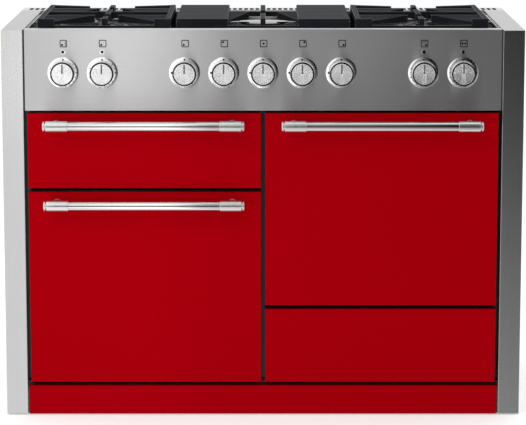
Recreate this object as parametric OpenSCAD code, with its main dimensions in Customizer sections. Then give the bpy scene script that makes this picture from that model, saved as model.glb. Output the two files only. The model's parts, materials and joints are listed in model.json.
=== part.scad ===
// Dual fuel range cooker, millimetres, front faces towards -Y, floor at z = 0

/* [Overall] */
// Overall width over the side columns
range_w = 1215; // [1150:5:1300]
// Depth from the door faces to the rear edge
body_d = 600; // [590:5:680]
// Height of the side caps above the floor
cap_h = 915; // [905:5:940]
// Thickness of the steel sheet
sheet_t = 1.5; // [1:0.1:2]
// Gap left under the columns and the plinth
floor_gap = 3; // [2:0.5:6]

/* [Side columns] */
// Width of each side column and of its top cap
column_w = 50; // [44:1:60]
// Gap between a column and the control panel or the plinth
panel_gap = 4; // [2:0.5:6]

/* [Fronts] */
// Height of the plinth
plinth_h = 68; // [66:1:80]
// Gap between neighbouring fronts
front_gap = 9; // [8.5:0.5:12]
// Gap between the fronts and the side columns
side_gap = 8.5; // [5:0.5:12]
// Gap between the control panel and the doors
panel_door_gap = 6; // [4:0.5:10]
// Height of the control panel
panel_h = 187; // [175:1:195]
// Height of the grill door
grill_door_h = 177; // [170:1:200]
// Height of the storage drawer front
drawer_front_h = 176; // [160:1:200]
// Thickness of a door from its face to its inner panel
door_t = 40; // [38:1:44]
// Depth of the folded outer panel of a door
door_skin_d = 24; // [22:1:28]
// Gap between a closed door and the front frame
frame_gap = 6; // [5:0.5:8]

/* [Door hinges] */
// Distance of the hinge axis behind the door face
hinge_in = 16; // [14:0.5:16]
// Height of the hinge axis above the lower edge of the door
hinge_up = 12; // [12:0.5:14]
// Distance of each hinge from the side edge of the door
hinge_side = 60; // [50:1:80]
// Diameter of the hinge pins
hinge_pin_d = 8; // [6:0.5:9]
// Thickness of the fixed hinge lug
hinge_lug_t = 5; // [4:0.5:6]
// Thickness of each hinge cheek
hinge_cheek_t = 3; // [2.5:0.5:4]
// Radial clearance of a running fit
run_clear = 0.05; // [0.04:0.01:0.08]

/* [Handles] */
// Overall length of a handle
handle_l = 467; // [420:1:490]
// Diameter of the handle bar
handle_d = 22; // [18:0.5:23]
// Diameter of the end castings
ferrule_d = 25; // [24:0.5:28]
// Length of the end castings
ferrule_l = 57; // [50:1:65]
// Distance of the front of the handle from the door face
handle_out = 55; // [50:1:60]
// Distance of the handle axis below the upper edge of the door
handle_drop = 26; // [24:1:34]
// Diameter of the posts behind the end castings
post_d = 14; // [10:1:18]

/* [Knobs] */
// Spacing of the knobs
knob_pitch = 91; // [86:1:96]
// Distance of the outermost knobs from the ends of the panel
knob_end = 89.5; // [80:0.5:112]
// Distance of the knob axes below the side caps
knob_down = 98.5; // [93:0.5:110]
// Diameter of the knob face
knob_face_d = 53; // [46:0.5:54]
// Diameter of the knob body
knob_d = 56; // [54.5:0.5:60]
// Height of the knob
knob_h = 27; // [22:1:32]
// Gap between a pushed-in knob and its bezel ring
knob_clear = 0.6; // [0.5:0.1:2]
// Push-in travel of the gas knobs
push_travel = 4; // [2:0.5:4]
// Diameter of the spindles
spindle_d = 8; // [6:0.5:9]
// Outer diameter of the bezel rings
bezel_d = 73; // [68:1:80]
// Diameter of the hole in the bezel rings
bezel_hole_d = 40; // [30:1:44]
// Thickness of the bezel rings
bezel_t = 1.5; // [1:0.1:2]
// Diameter of the indicator lenses
lens_d = 6.5; // [5:0.5:8]
// Height of the indicator lenses above the knob axes
lens_up = 48; // [46:1:58]

/* [Cavities] */
// Side inset of a cavity from the edge of its door
cavity_side = 48; // [44:1:56]
// Inset of a cavity above the lower edge of its door
cavity_low = 40; // [36:1:46]
// Inset of a cavity below the upper edge of its door
cavity_high = 36; // [32:1:44]
// Space for the fan motors between the ovens and the rear panel
motor_room = 110; // [85:5:130]
// How much shorter the grill compartment is than the ovens
grill_short = 20; // [0:5:60]
// Height of the ribs for the grill pan above the compartment floor
grill_rib_up = 28; // [26:1:34]
// Projection of the shelf ribs into the oven
rib_out = 10; // [8:1:14]
// Distance of the fan cover from the rear wall
fan_zone = 40; // [36:1:50]
// Diameter of the fan impeller
fan_d = 150; // [120:5:160]
// Diameter of the ring element
ring_d = 196; // [186:2:210]

/* [Drawer] */
// Opening travel of the storage drawer
drawer_travel = 350; // [300:5:360]
// Space between the drawer box and the rear panel
drawer_room = 90; // [70:5:130]
// Height of the sides of the drawer box
drawer_side_h = 120; // [90:1:130]

/* [Hob] */
// Depth of the sunken tray below the caps
tray_down = 28; // [24:1:32]
// Depth of the rear vent trim
vent_d = 75; // [70:1:90]
// Pitch of the vent slots
slot_pitch = 14.3; // [13.5:0.1:18]
// Width of a vent slot
slot_w = 9; // [6:0.5:10]
// Length of a vent slot
slot_l = 50; // [40:1:56]
// Height of the grate tops above the caps
grate_up = 20; // [16:1:24]
// Width of the cast bars
bar_w = 12; // [9:0.5:14]
// Height of the cast bars
bar_h = 16; // [12:0.5:17]
// Distance of the grates behind the door faces
grate_front = 75; // [60:1:85]
// Depth of the grates
grate_d = 380; // [360:5:400]
// Half width of the centre grate
centre_half = 203; // [190:1:206]
// Inner edge of the outer grates from the middle
outer_in = 217; // [212:1:230]
// Outer edge of the outer grates from the middle
outer_out = 528; // [500:1:534]
// Inner edge of the ribbed blocks of the centre grate
block_in = 83; // [76:1:95]
// Diameter of the cap of a side burner
cap_d = 76; // [66:1:90]
// Diameter of the cap of the centre burner
wok_cap_d = 118; // [100:1:130]

/* [Base] */
// Diameter of the foot pads
foot_d = 40; // [30:1:46]
// Diameter of the foot stems
stem_d = 10; // [8:1:12]
// Diameter of the rear rollers
roller_d = 50; // [40:1:54]
// Width of the rear rollers
roller_w = 22; // [16:1:28]
// Diameter of the roller axle
axle_d = 12; // [8:1:14]

/* [Hidden] */
$fn = 48;

// Main planes
total_d = body_d + handle_out;
face_y = handle_out - total_d / 2;
back_y = total_d / 2;
inner_x = range_w / 2 - column_w;
panel_x = inner_x - panel_gap;
front_x = inner_x - side_gap;
door_w = front_x - front_gap / 2;
plinth_top = floor_gap + plinth_h;
fronts_z0 = plinth_top + front_gap;
panel_z0 = cap_h - panel_h;
fronts_z1 = panel_z0 - panel_door_gap;
frame_t = 2;
frame_y = face_y + door_t + frame_gap;
liner_y = frame_y + frame_t;
knob_z = cap_h - knob_down;
pan_t = 2;
base_z = plinth_top + 1;
rail_h = 34;
pan_rail_w = 30;
pan_lip_d = 15;
pan_lip_h = 12;
plinth_fold = 20;
service_d = 22;
back_panel_y = back_y - service_d;
joint_gap = 0.3;
lug_wall = 3.5;
lug_h = 10;
hinge_gap = 0.5;
notch_clear = 4;
panel_rim = 12;
liner_edge = 3;
liner_step = 10;
end_wall = 14;
bar_in = ferrule_l - end_wall;
groove_in = 6;
groove_w = 2;
seal_w = 10;
seal_in = 4;
oven_d = back_panel_y - liner_y - motor_room;
grill_d = oven_d - grill_short;

// Fronts as [left edge, lower edge, height]
left_door_h = fronts_z1 - grill_door_h - front_gap - fronts_z0;
right_door_z = fronts_z0 + drawer_front_h + front_gap;
grill_front = [-front_x, fronts_z1 - grill_door_h, grill_door_h];
left_front = [-front_x, fronts_z0, left_door_h];
right_front = [front_gap / 2, right_door_z, fronts_z1 - right_door_z];
drawer_front_place = [front_gap / 2, fronts_z0, drawer_front_h];

// Cavities behind the doors
cavity_w = door_w - 2 * cavity_side;
flange_w = 10;
rib_h = 6;
rib_end = 20;
top_room = 50;
fan_bore = 30;
grille_bar = 8;
rack_side = 2;
rack_front = 12;
rack_back = 8;
rib_pitch = 70;
rib_first = 60;
oven_back = liner_y + oven_d;
shaft_d = spindle_d;
motor_d = 80;
motor_l = 55;
motor_lug = 12;
motor_lug_h = 30;
motor_lug_t = 3;
fan_back = 10;
blade_l = 18;
blade_t = 1.2;
blade_d = 30;
hub_d = 22;
shaft_in = 38;
fan_blades = 10;
element_d = 8;
outlet_in = 40;
outlet_pitch = 40;
outlet_w = 30;
outlet_h = 10;
element_in = 30;
element_front = 50;
element_down = 14;
ring_in = 20;
tail_half = 40;

// Drawer
runner_w = 14;
runner_h = 13;
runner_in = 40;
drawer_side = 30;
drawer_clear = 2;
drawer_lap = 3;
drawer_d = back_panel_y - liner_y - drawer_room;
drawer_z = base_z + runner_h + joint_gap;

// Knobs
knob_gap = bezel_t + push_travel + knob_clear;
outer_knob_x = panel_x - knob_end - knob_pitch;
spindle_in = 16;
spindle_hole_d = spindle_d + 2;
switch_w = 40;
switch_h = 40;
valve_w = 32;
valve_d = 40;
switch_d = valve_d - 2;
valve_h = 30;
valve_bore = 26;
lens_body_l = 12;
lens_proud = 1.5;
knob_xs = [
    -outer_knob_x - knob_pitch, -outer_knob_x,
    -2 * knob_pitch, -knob_pitch, 0, knob_pitch, 2 * knob_pitch,
    outer_knob_x, outer_knob_x + knob_pitch
];
oven_knobs = [0, 1, 7, 8];
gas_knobs = [2, 3, 4, 5, 6];

// Hob
panel_proud = 3;
panel_top = cap_h + panel_proud;
roll_r = 3.5;
top_flange_d = 24;
tray_z = cap_h - tray_down;
tray_y0 = face_y + top_flange_d - sheet_t;
tray_y1 = back_y - vent_d;
vent_t = 2;
tray_lip = 8;
trim_fold = 30;
grate_y = face_y + grate_front;
grate_z = cap_h + grate_up;
bar_z = grate_z - bar_h;
outer_mid = (outer_in + outer_out) / 2;
front_burner_y = grate_y + grate_d * 0.26;
rear_burner_y = grate_y + grate_d * 0.74;
wok_y = grate_y + grate_d / 2;
burners = [
    [-outer_mid, front_burner_y], [-outer_mid, rear_burner_y], [0, wok_y],
    [outer_mid, rear_burner_y], [outer_mid, front_burner_y]
];
head_d = cap_d - 8;
wok_head_d = wok_cap_d - 8;
head_foot_t = 4;
head_h = 20;
cap_t = 7;
stem_w = 40;
stem_down = 25;
pipe_d = 8;
head_foot_w = 18;
crown_h = 6;
port_w = 2.4;
port_in = 6;
finger_gap = 28;
low_rail_h = 12;
post_w = 38;
wing_edge = 4;
wing_drop = 14;
front_wing = 60;
rear_wing = 88;
wok_wing = 75;
corner_l = 100;
corner_in = 36;
block_t = 8;
groove_h = 7;

// Base
roller_in = 80;
roller_side = 50;
roller_y = back_y - roller_in;
roller_x = inner_x - roller_side;
roller_clear = 2;
axle_out = 3;
bracket_t = 4;
foot_side = 60;
foot_x = inner_x - foot_side;
foot_y = frame_y + foot_side / 2;
foot_h = 10;
terminal_in = 60;
terminal_w = 120;
terminal_h = 90;
terminal_wall = 4;
gland_d = 16;
inlet_d = 21;
inlet_side = 30;
inlet_x = inner_x - inlet_side;
rail_w = 18;
back_down = 10;
screw_d = 8;
screw_t = 2.4;
screw_down = 25;
screw_up = 20;
screw_side = 12;
nut_t = 5;
nut_d = 33;

// A round bar along X, Y or Z from its start point
module bar_x(p, d, l) {
    translate(p)
        rotate([0, 90, 0])
            cylinder(d = d, h = l);
}

module bar_y(p, d, l) {
    translate(p)
        rotate([-90, 0, 0])
            cylinder(d = d, h = l);
}

module bar_z(p, d, l) {
    translate(p)
        cylinder(d = d, h = l);
}

// A box from its lowest corner to its highest
module block(a, b) {
    translate(a)
        cube(b - a);
}

// A bent tube through points that each lie along one axis from the last
module bent_tube(points, d) {
    for (i = [0 : len(points) - 2]) {
        a = points[i];
        b = points[i + 1];
        low = [for (k = [0 : 2]) min(a[k], b[k])];
        run = [for (k = [0 : 2]) abs(a[k] - b[k])];
        if (run.x > 0) bar_x(low, d, run.x);
        if (run.y > 0) bar_y(low, d, run.y);
        if (run.z > 0) bar_z(low, d, run.z);
        if (i > 0)
            translate(a)
                sphere(d = d);
    }
}

// Sheet steel side column with its top cap, closed at the rear, open below
module column(side) {
    x0 = side < 0 ? -range_w / 2 : inner_x;
    color([0.8, 0.8, 0.79])
        difference() {
            union() {
                block([x0, face_y, floor_gap], [x0 + column_w, tray_y1, cap_h]);
                block([x0, tray_y1 - 1, floor_gap], [x0 + column_w, back_y, cap_h - vent_t]);
            }
            block([x0 + sheet_t, face_y + sheet_t, floor_gap - 1],
                  [x0 + column_w - sheet_t, back_y - sheet_t, cap_h - vent_t - sheet_t]);
        }
}

// Floor pan with its rails, the drawer runners and the roller brackets
module base_pan() {
    y1 = back_panel_y;
    color([0.55, 0.56, 0.57])
        difference() {
            union() {
                block([-inner_x, frame_y, base_z - pan_t], [inner_x, y1, base_z]);
                for (y = [frame_y + pan_lip_d, y1 - pan_rail_w])
                    block([-inner_x, y, base_z - pan_t - rail_h],
                          [inner_x, y + pan_rail_w, base_z - pan_t]);
                for (x = [-inner_x, -pan_rail_w / 2, inner_x - pan_rail_w])
                    block([x, frame_y + pan_lip_d, base_z - pan_t - rail_h],
                          [x + pan_rail_w, y1, base_z - pan_t]);
                for (x = [front_gap / 2 + runner_in, front_x - runner_in - runner_w])
                    block([x, liner_y, base_z], [x + runner_w, liner_y + drawer_d, base_z + runner_h]);
                for (s = [-1, 1])
                    roller_bracket(s);
                block([-inner_x, frame_y, base_z - pan_t - pan_lip_h],
                      [inner_x, frame_y + pan_lip_d, base_z]);
            }
            for (s = [-1, 1])
                bar_z([s * foot_x, foot_y, 0], stem_d + 2 * run_clear, base_z - pan_t);
            bar_x([-inner_x, roller_y, roller_d / 2], axle_d + 2 * run_clear, 2 * inner_x);
        }
}

// Plates on both sides of a roller, down from the pan to the axle
module roller_bracket(s) {
    gap = roller_w / 2 + roller_clear;
    for (x = [s * roller_x - gap - bracket_t, s * roller_x + gap])
        block([x, roller_y - axle_d, roller_d / 2 - axle_d],
              [x + bracket_t, roller_y + axle_d, base_z - pan_t]);
}

// Two rollers on one through axle
module rear_rollers() {
    axle_x = roller_x + roller_w / 2 + roller_clear + bracket_t + axle_out;
    color([0.2, 0.2, 0.2]) {
        bar_x([-axle_x, roller_y, roller_d / 2], axle_d, 2 * axle_x);
        for (s = [-1, 1])
            bar_x([s * roller_x - roller_w / 2, roller_y, roller_d / 2], roller_d, roller_w);
    }
}

module levelling_feet() {
    color([0.7, 0.71, 0.72])
        for (s = [-1, 1]) {
            bar_z([s * foot_x, foot_y, 0], foot_d, foot_h);
            bar_z([s * foot_x, foot_y, 0], stem_d, base_z - 2 * pan_t - joint_gap);
        }
}

// Rear panel with the terminal box and its cable entry, and the gas inlet hole
module back_panel() {
    z1 = tray_z - back_down;
    tx = -inner_x + terminal_in;
    tz = base_z + terminal_in;
    color([0.6, 0.61, 0.62])
        difference() {
            union() {
                block([-inner_x, back_panel_y, base_z - pan_t], [inner_x, back_panel_y + sheet_t, z1]);
                block([tx, back_panel_y, tz],
                      [tx + terminal_w, back_y - 1, tz + terminal_h]);
            }
            block([tx + terminal_wall, back_panel_y - 1, tz + terminal_wall],
                  [tx + terminal_w - terminal_wall, back_y - 1 - sheet_t,
                   tz + terminal_h - terminal_wall]);
            bar_z([tx + terminal_w / 2, back_panel_y + service_d / 2, tz - 1],
                  gland_d, terminal_wall + 2);
            bar_y([inlet_x, back_panel_y - 1, knob_z], rail_w + 1, sheet_t + 2);
        }
}

// Ends of a cavity's opening along X and Z
function open_x(f) = [f[0] + cavity_side, f[0] + door_w - cavity_side];
function open_z(f) = [f[1] + cavity_low, f[1] + f[2] - cavity_high];

// One flat bar of the front frame, from its ends along X and Z
module frame_bar(x, z) {
    block([x[0], frame_y, z[0]], [x[1], liner_y, z[1]]);
}

// Black frame behind the doors: posts, rails and jambs, the centre divider and the hinge lugs
module front_frame() {
    left_x = open_x(left_front);
    right_x = open_x(right_front);
    drawer_x = [drawer_front_place[0] + drawer_side, front_x - drawer_side];
    left_z = open_z(left_front);
    grill_z = open_z(grill_front);
    right_z = open_z(right_front);
    color([0.06, 0.06, 0.06]) {
        for (x = [[-inner_x, left_x[0]], [left_x[1], drawer_x[0]], [drawer_x[1], inner_x]])
            frame_bar(x, [base_z, panel_z0]);
        for (z = [[base_z, left_z[0]], [left_z[1], grill_z[0]], [grill_z[1], panel_z0]])
            frame_bar([left_x[0] + joint_gap, left_x[1] - joint_gap], z);
        for (z = [[base_z, drawer_z - joint_gap],
                  [drawer_z + drawer_side_h + drawer_clear, right_z[0]],
                  [right_z[1], panel_z0]])
            frame_bar([drawer_x[0] + joint_gap, drawer_x[1] - joint_gap], z);
        for (x = [[drawer_x[0] + joint_gap, right_x[0]], [right_x[1], drawer_x[1] - joint_gap]])
            frame_bar(x, [right_z[0] + joint_gap, right_z[1] - joint_gap]);
        for (f = [grill_front, left_front, right_front])
            for (x = hinge_xs(f))
                hinge_lug(x, f);
        block([-frame_t, liner_y + joint_gap, base_z], [frame_t, back_panel_y, panel_z0]);
    }
}

function hinge_xs(f) = [f[0] + hinge_side, f[0] + door_w - hinge_side];

// Fixed lug of a door hinge, from the frame forward to the hinge axis
module hinge_lug(x, f) {
    y = face_y + hinge_in;
    z = f[1] + hinge_up;
    lug_r = hinge_pin_d / 2 + lug_wall;
    difference() {
        union() {
            bar_x([x - hinge_lug_t / 2, y, z], 2 * lug_r, hinge_lug_t);
            block([x - hinge_lug_t / 2, y, z - lug_h / 2],
                  [x + hinge_lug_t / 2, frame_y + 1, z + lug_h / 2]);
        }
        bar_x([x - hinge_lug_t, y, z], hinge_pin_d + 2 * run_clear, 2 * hinge_lug_t);
    }
}

// Room for a hinge in the lower edge of a door
module hinge_notch(x, f) {
    half = hinge_lug_t / 2 + hinge_gap + hinge_cheek_t;
    block([x - half, face_y + hinge_in - hinge_pin_d / 2 - notch_clear, f[1] - 1],
          [x + half, face_y + door_t + 1, f[1] + hinge_up + hinge_pin_d / 2 + notch_clear]);
}

// Moving half of the hinges: two cheeks with a pin between them
module door_hinges(f) {
    color([0.7, 0.71, 0.72])
        for (x = hinge_xs(f)) {
            inner = hinge_lug_t / 2 + hinge_gap;
            for (s = [-1, 1])
                block([min(x + s * inner, x + s * (inner + hinge_cheek_t)), face_y + sheet_t,
                       f[1] + sheet_t],
                      [max(x + s * inner, x + s * (inner + hinge_cheek_t)),
                       face_y + hinge_in + hinge_pin_d / 2 + lug_wall,
                       f[1] + hinge_up + hinge_pin_d / 2 + notch_clear]);
            bar_x([x - inner - hinge_gap, face_y + hinge_in, f[1] + hinge_up], hinge_pin_d,
                  2 * (inner + hinge_gap));
        }
}

// Folded outer panel of a door: face, four returns and an inward rim
module door_panel(f) {
    x1 = f[0] + door_w;
    z1 = f[1] + f[2];
    y1 = face_y + door_skin_d;
    color([0.65, 0, 0.06])
        difference() {
            block([f[0], face_y, f[1]], [x1, y1, z1]);
            block([f[0] + sheet_t, face_y + sheet_t, f[1] + sheet_t],
                  [x1 - sheet_t, y1 - sheet_t, z1 - sheet_t]);
            block([f[0] + panel_rim, y1 - 2 * sheet_t, f[1] + panel_rim],
                  [x1 - panel_rim, y1 + 1, z1 - panel_rim]);
            for (x = hinge_xs(f))
                hinge_notch(x, f);
        }
}

// Inner panel of a door: a rim on the outer panel and a raised tray behind it
module door_liner(f) {
    x1 = f[0] + door_w;
    z1 = f[1] + f[2];
    y0 = face_y + door_skin_d;
    color([0.1, 0.1, 0.1])
        difference() {
            union() {
                block([f[0] + liner_edge, y0, f[1] + liner_edge],
                      [x1 - liner_edge, y0 + sheet_t, z1 - liner_edge]);
                block([f[0] + liner_step, y0, f[1] + liner_step],
                      [x1 - liner_step, face_y + door_t, z1 - liner_step]);
            }
            block([f[0] + liner_step + sheet_t, y0 - 1, f[1] + liner_step + sheet_t],
                  [x1 - liner_step - sheet_t, face_y + door_t - sheet_t, z1 - liner_step - sheet_t]);
            for (x = hinge_xs(f))
                hinge_notch(x, f);
        }
}

// Bar handle: a round bar held in two end castings with posts to the door
module door_handle(f) {
    xm = f[0] + door_w / 2;
    y = face_y - handle_out + ferrule_d / 2;
    z = f[1] + f[2] - handle_drop;
    color([0.9, 0.9, 0.9]) {
        bar_x([xm - handle_l / 2 + ferrule_l - bar_in, y, z], handle_d,
              handle_l - 2 * (ferrule_l - bar_in));
        for (s = [-1, 1])
            difference() {
                union() {
                    translate([xm + s * handle_l / 2, y, z])
                        rotate([0, -s * 90, 0])
                            difference() {
                                cylinder(d = ferrule_d, h = ferrule_l);
                                translate([0, 0, groove_in])
                                    difference() {
                                        cylinder(d = ferrule_d + 2, h = groove_w);
                                        translate([0, 0, -1])
                                            cylinder(d = ferrule_d - groove_w, h = groove_w + 2);
                                    }
                            }
                    bar_y([xm + s * (handle_l - ferrule_l) / 2, y, z], post_d, face_y - y);
                }
                bar_x([xm - handle_l / 2 + ferrule_l - bar_in, y, z], handle_d,
                      handle_l - 2 * (ferrule_l - bar_in));
            }
    }
}

// Gasket rings on the front frame round each cavity
module door_seals() {
    color([0.15, 0.15, 0.15])
        for (f = [grill_front, left_front, right_front])
            difference() {
                block([f[0] + cavity_side - seal_in - seal_w, face_y + door_t + joint_gap,
                       f[1] + cavity_low - seal_in - seal_w],
                      [f[0] + door_w - cavity_side + seal_in + seal_w, frame_y,
                       f[1] + f[2] - cavity_high + seal_in + seal_w]);
                block([f[0] + cavity_side - seal_in, face_y + door_t - 1, f[1] + cavity_low - seal_in],
                      [f[0] + door_w - cavity_side + seal_in, frame_y + 1,
                       f[1] + f[2] - cavity_high + seal_in]);
            }
}

module drawer_front() {
    f = drawer_front_place;
    x1 = f[0] + door_w;
    z1 = f[1] + f[2];
    y1 = face_y + door_skin_d;
    color([0.65, 0, 0.06])
        difference() {
            block([f[0], face_y, f[1]], [x1, y1, z1]);
            block([f[0] + sheet_t, face_y + sheet_t, f[1] + sheet_t],
                  [x1 - sheet_t, y1 - sheet_t, z1 - sheet_t]);
            block([f[0] + panel_rim, y1 - 2 * sheet_t, f[1] + panel_rim],
                  [x1 - panel_rim, y1 + 1, z1 - panel_rim]);
        }
}

// Open box of the drawer, with a front plate that closes the drawer front
module drawer_box() {
    f = drawer_front_place;
    x0 = f[0] + drawer_side + drawer_clear;
    x1 = front_x - drawer_side - drawer_clear;
    y0 = face_y + door_skin_d;
    y1 = liner_y + drawer_d;
    z1 = drawer_z + drawer_side_h;
    color([0.35, 0.36, 0.37])
        difference() {
            union() {
                block([x0, y0, drawer_z], [x1, y1, z1]);
                block([f[0] + drawer_lap, y0, f[1] + drawer_lap],
                      [f[0] + door_w - drawer_lap, y0 + sheet_t, f[1] + f[2] - drawer_lap]);
            }
            block([x0 + sheet_t, y0 + sheet_t, drawer_z + sheet_t],
                  [x1 - sheet_t, y1 - sheet_t, z1 + 1]);
        }
}

// Oven or grill liner: five sheets seamed at the corners, with a front flange and shelf ribs
module liner_shell(f, depth, ribs) {
    x = open_x(f);
    z = open_z(f);
    y1 = liner_y + depth;
    for (at = [[z[0] - sheet_t, z[0] - flange_w], [z[1], z[1]]]) {
        block([x[0] - sheet_t, liner_y, at[0]], [x[1] + sheet_t, y1 - joint_gap, at[0] + sheet_t]);
        block([x[0] - flange_w, liner_y, at[1]],
              [x[1] + flange_w, liner_y + sheet_t, at[1] + flange_w]);
    }
    for (at = [[x[0] - sheet_t, x[0] - flange_w, x[0] - sheet_t / 2],
               [x[1], x[1], x[1] - rib_out]]) {
        block([at[0], liner_y, z[0] + joint_gap], [at[0] + sheet_t, y1 - joint_gap, z[1] - joint_gap]);
        block([at[1], liner_y, z[0] + joint_gap],
              [at[1] + flange_w, liner_y + sheet_t, z[1] - joint_gap]);
        for (up = ribs)
            block([at[2], liner_y + rib_end, z[0] + up - rib_h],
                  [at[2] + rib_out + sheet_t / 2, y1 - fan_zone - rib_end, z[0] + up]);
    }
    block([x[0] - sheet_t, y1, z[0] - sheet_t], [x[1] + sheet_t, y1 + sheet_t, z[1] + sheet_t]);
}

function rib_levels(f) =
    [for (z = [rib_first : rib_pitch : f[2] - cavity_low - cavity_high - top_room]) z];
function oven_mid(f) = [f[0] + door_w / 2, f[1] + (cavity_low + f[2] - cavity_high) / 2];

// Oven liner with the cover in front of its fan
module oven_liner(f) {
    color([0.09, 0.09, 0.1]) {
        difference() {
            liner_shell(f, oven_d, rib_levels(f));
            bar_y([oven_mid(f).x, oven_back - 1, oven_mid(f).y], shaft_d + 10, sheet_t + 2);
        }
        fan_cover(f);
    }
}

// Sheet in front of the fan, with a round grille and outlets along both sides
module fan_cover(f) {
    c = oven_mid(f);
    x = open_x(f);
    z = open_z(f);
    y0 = oven_back - fan_zone;
    grille_d = fan_d - fan_bore;
    bars = 4;
    difference() {
        block([x[0] + joint_gap, y0, z[0] + joint_gap],
              [x[1] - joint_gap, y0 + sheet_t, z[1] - joint_gap]);
        for (k = [-bars : bars]) {
            up = k * grille_d / (2 * bars + 2);
            half = sqrt(pow(grille_d / 2, 2) - up * up);
            block([c.x - half, y0 - 1, c.y + up - grille_bar / 2],
                  [c.x + half, y0 + sheet_t + 1, c.y + up + grille_bar / 2]);
        }
        for (s = [-1, 1])
            for (k = [-2 : 2])
                translate([c.x + s * (cavity_w / 2 - outlet_in), y0, c.y + k * outlet_pitch])
                    cube([outlet_w, 4 * sheet_t, outlet_h], center = true);
    }
}

module grill_liner() {
    color([0.09, 0.09, 0.1])
        liner_shell(grill_front, grill_d, [grill_rib_up]);
}

// Wire shelf that rests on a pair of ribs
module wire_rack(f, z) {
    x0 = f[0] + cavity_side + rack_side;
    x1 = f[0] + door_w - cavity_side - rack_side;
    y0 = liner_y + rack_front;
    y1 = oven_back - fan_zone - rack_back;
    rim_d = 6;
    wire_d = 3;
    wires = 14;
    zc = f[1] + cavity_low + z + rim_d / 2 + joint_gap;
    for (y = [y0, (y0 + y1) / 2, y1])
        bar_x([x0, y, zc], rim_d, x1 - x0);
    for (x = [x0 + rim_d / 2, x1 - rim_d / 2])
        bar_y([x, y0, zc], rim_d, y1 - y0);
    for (k = [1 : wires])
        bar_y([x0 + k * (x1 - x0) / (wires + 1), y0, zc + 1], wire_d, y1 - y0);
}

module oven_racks() {
    color([0.8, 0.8, 0.8])
        for (f = [left_front, right_front])
            for (k = [0, 2])
                wire_rack(f, rib_levels(f)[k]);
}

// Shallow enamelled pan on the grill ribs, with a trivet of wires inside
module grill_pan() {
    f = grill_front;
    x0 = f[0] + cavity_side + rack_side;
    x1 = f[0] + door_w - cavity_side - rack_side;
    y0 = liner_y + rack_front;
    y1 = liner_y + grill_d - rack_front;
    z0 = f[1] + cavity_low + grill_rib_up + joint_gap;
    lip = rib_out + rack_side + 2;
    lip_y = 6;
    deep = 20;
    wire_d = 3;
    wires = 12;
    color([0.12, 0.12, 0.13])
        difference() {
            union() {
                block([x0, y0, z0], [x1, y1, z0 + sheet_t]);
                block([x0 + lip, y0 + lip_y, z0 - deep], [x1 - lip, y1 - lip_y, z0]);
            }
            block([x0 + lip + sheet_t, y0 + lip_y + sheet_t, z0 - deep + sheet_t],
                  [x1 - lip - sheet_t, y1 - lip_y - sheet_t, z0 + sheet_t + 1]);
        }
    color([0.8, 0.8, 0.8])
        for (k = [1 : wires])
            bar_y([x0 + lip + k * (x1 - x0 - 2 * lip) / (wires + 1), y0 + lip_y + sheet_t / 2,
                   z0 - wire_d - 1], wire_d, y1 - y0 - 2 * lip_y - sheet_t);
}

module fan_motors() {
    color([0.6, 0.6, 0.62])
        for (f = [left_front, right_front]) {
            c = oven_mid(f);
            difference() {
                union() {
                    bar_y([c.x, oven_back + sheet_t, c.y], motor_d, motor_l);
                    block([c.x - motor_d / 2 - motor_lug, oven_back + sheet_t, c.y - motor_lug_h / 2],
                          [c.x + motor_d / 2 + motor_lug, oven_back + sheet_t + motor_lug_t,
                           c.y + motor_lug_h / 2]);
                }
                bar_y([c.x, oven_back, c.y], shaft_d + 2 * run_clear, shaft_in + 4);
            }
        }
}

// Fan impeller: a rear disc, radial blades and a hub on its shaft
module oven_fan(f) {
    c = oven_mid(f);
    disc_y = oven_back - fan_back;
    color([0.75, 0.75, 0.76]) {
        bar_y([c.x, disc_y, c.y], fan_d, sheet_t);
        bar_y([c.x, disc_y - blade_l, c.y], hub_d, blade_l + 1);
        bar_y([c.x, disc_y + 1, c.y], shaft_d, oven_back + sheet_t + shaft_in - disc_y - 1);
        for (k = [0 : fan_blades - 1])
            translate([c.x, disc_y - blade_l, c.y])
                rotate([0, k * 360 / fan_blades, 0])
                    translate([fan_d / 2 - blade_d - 2, 0, -blade_t / 2])
                        cube([blade_d, blade_l + 1, blade_t]);
    }
}

// Ring elements round the fans and the zigzag element under the grill roof
module heating_elements() {
    bars = 6;
    f = grill_front;
    x0 = f[0] + cavity_side + element_in;
    x1 = f[0] + door_w - cavity_side - element_in;
    y0 = liner_y + element_front;
    y1 = liner_y + grill_d;
    pitch = (y1 - element_front - y0) / (bars - 1);
    z = f[1] + f[2] - cavity_high - element_down;
    color([0.35, 0.3, 0.28]) {
        for (g = [left_front, right_front]) {
            c = oven_mid(g);
            ring_y = oven_back - ring_in;
            translate([c.x, ring_y, c.y])
                rotate([90, 0, 0])
                    rotate_extrude($fn = 64)
                        translate([ring_d / 2, 0])
                            circle(d = element_d, $fn = 16);
            for (s = [-1, 1])
                bar_y([c.x + s * ring_d / 2, ring_y, c.y], element_d - 1, ring_in);
        }
        for (k = [0 : bars - 1])
            bar_x([x0, y0 + k * pitch, z], element_d, x1 - x0);
        for (k = [0 : bars - 2])
            bar_y([k % 2 == 0 ? x0 : x1, y0 + k * pitch, z], element_d, pitch);
        for (k = [0 : bars - 1])
            for (x = [x0, x1])
                translate([x, y0 + k * pitch, z])
                    sphere(d = element_d);
        for (k = [-1, 1])
            bar_y([(x0 + x1) / 2 + k * tail_half, y0, z], element_d - 2, y1 - y0);
    }
}

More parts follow.
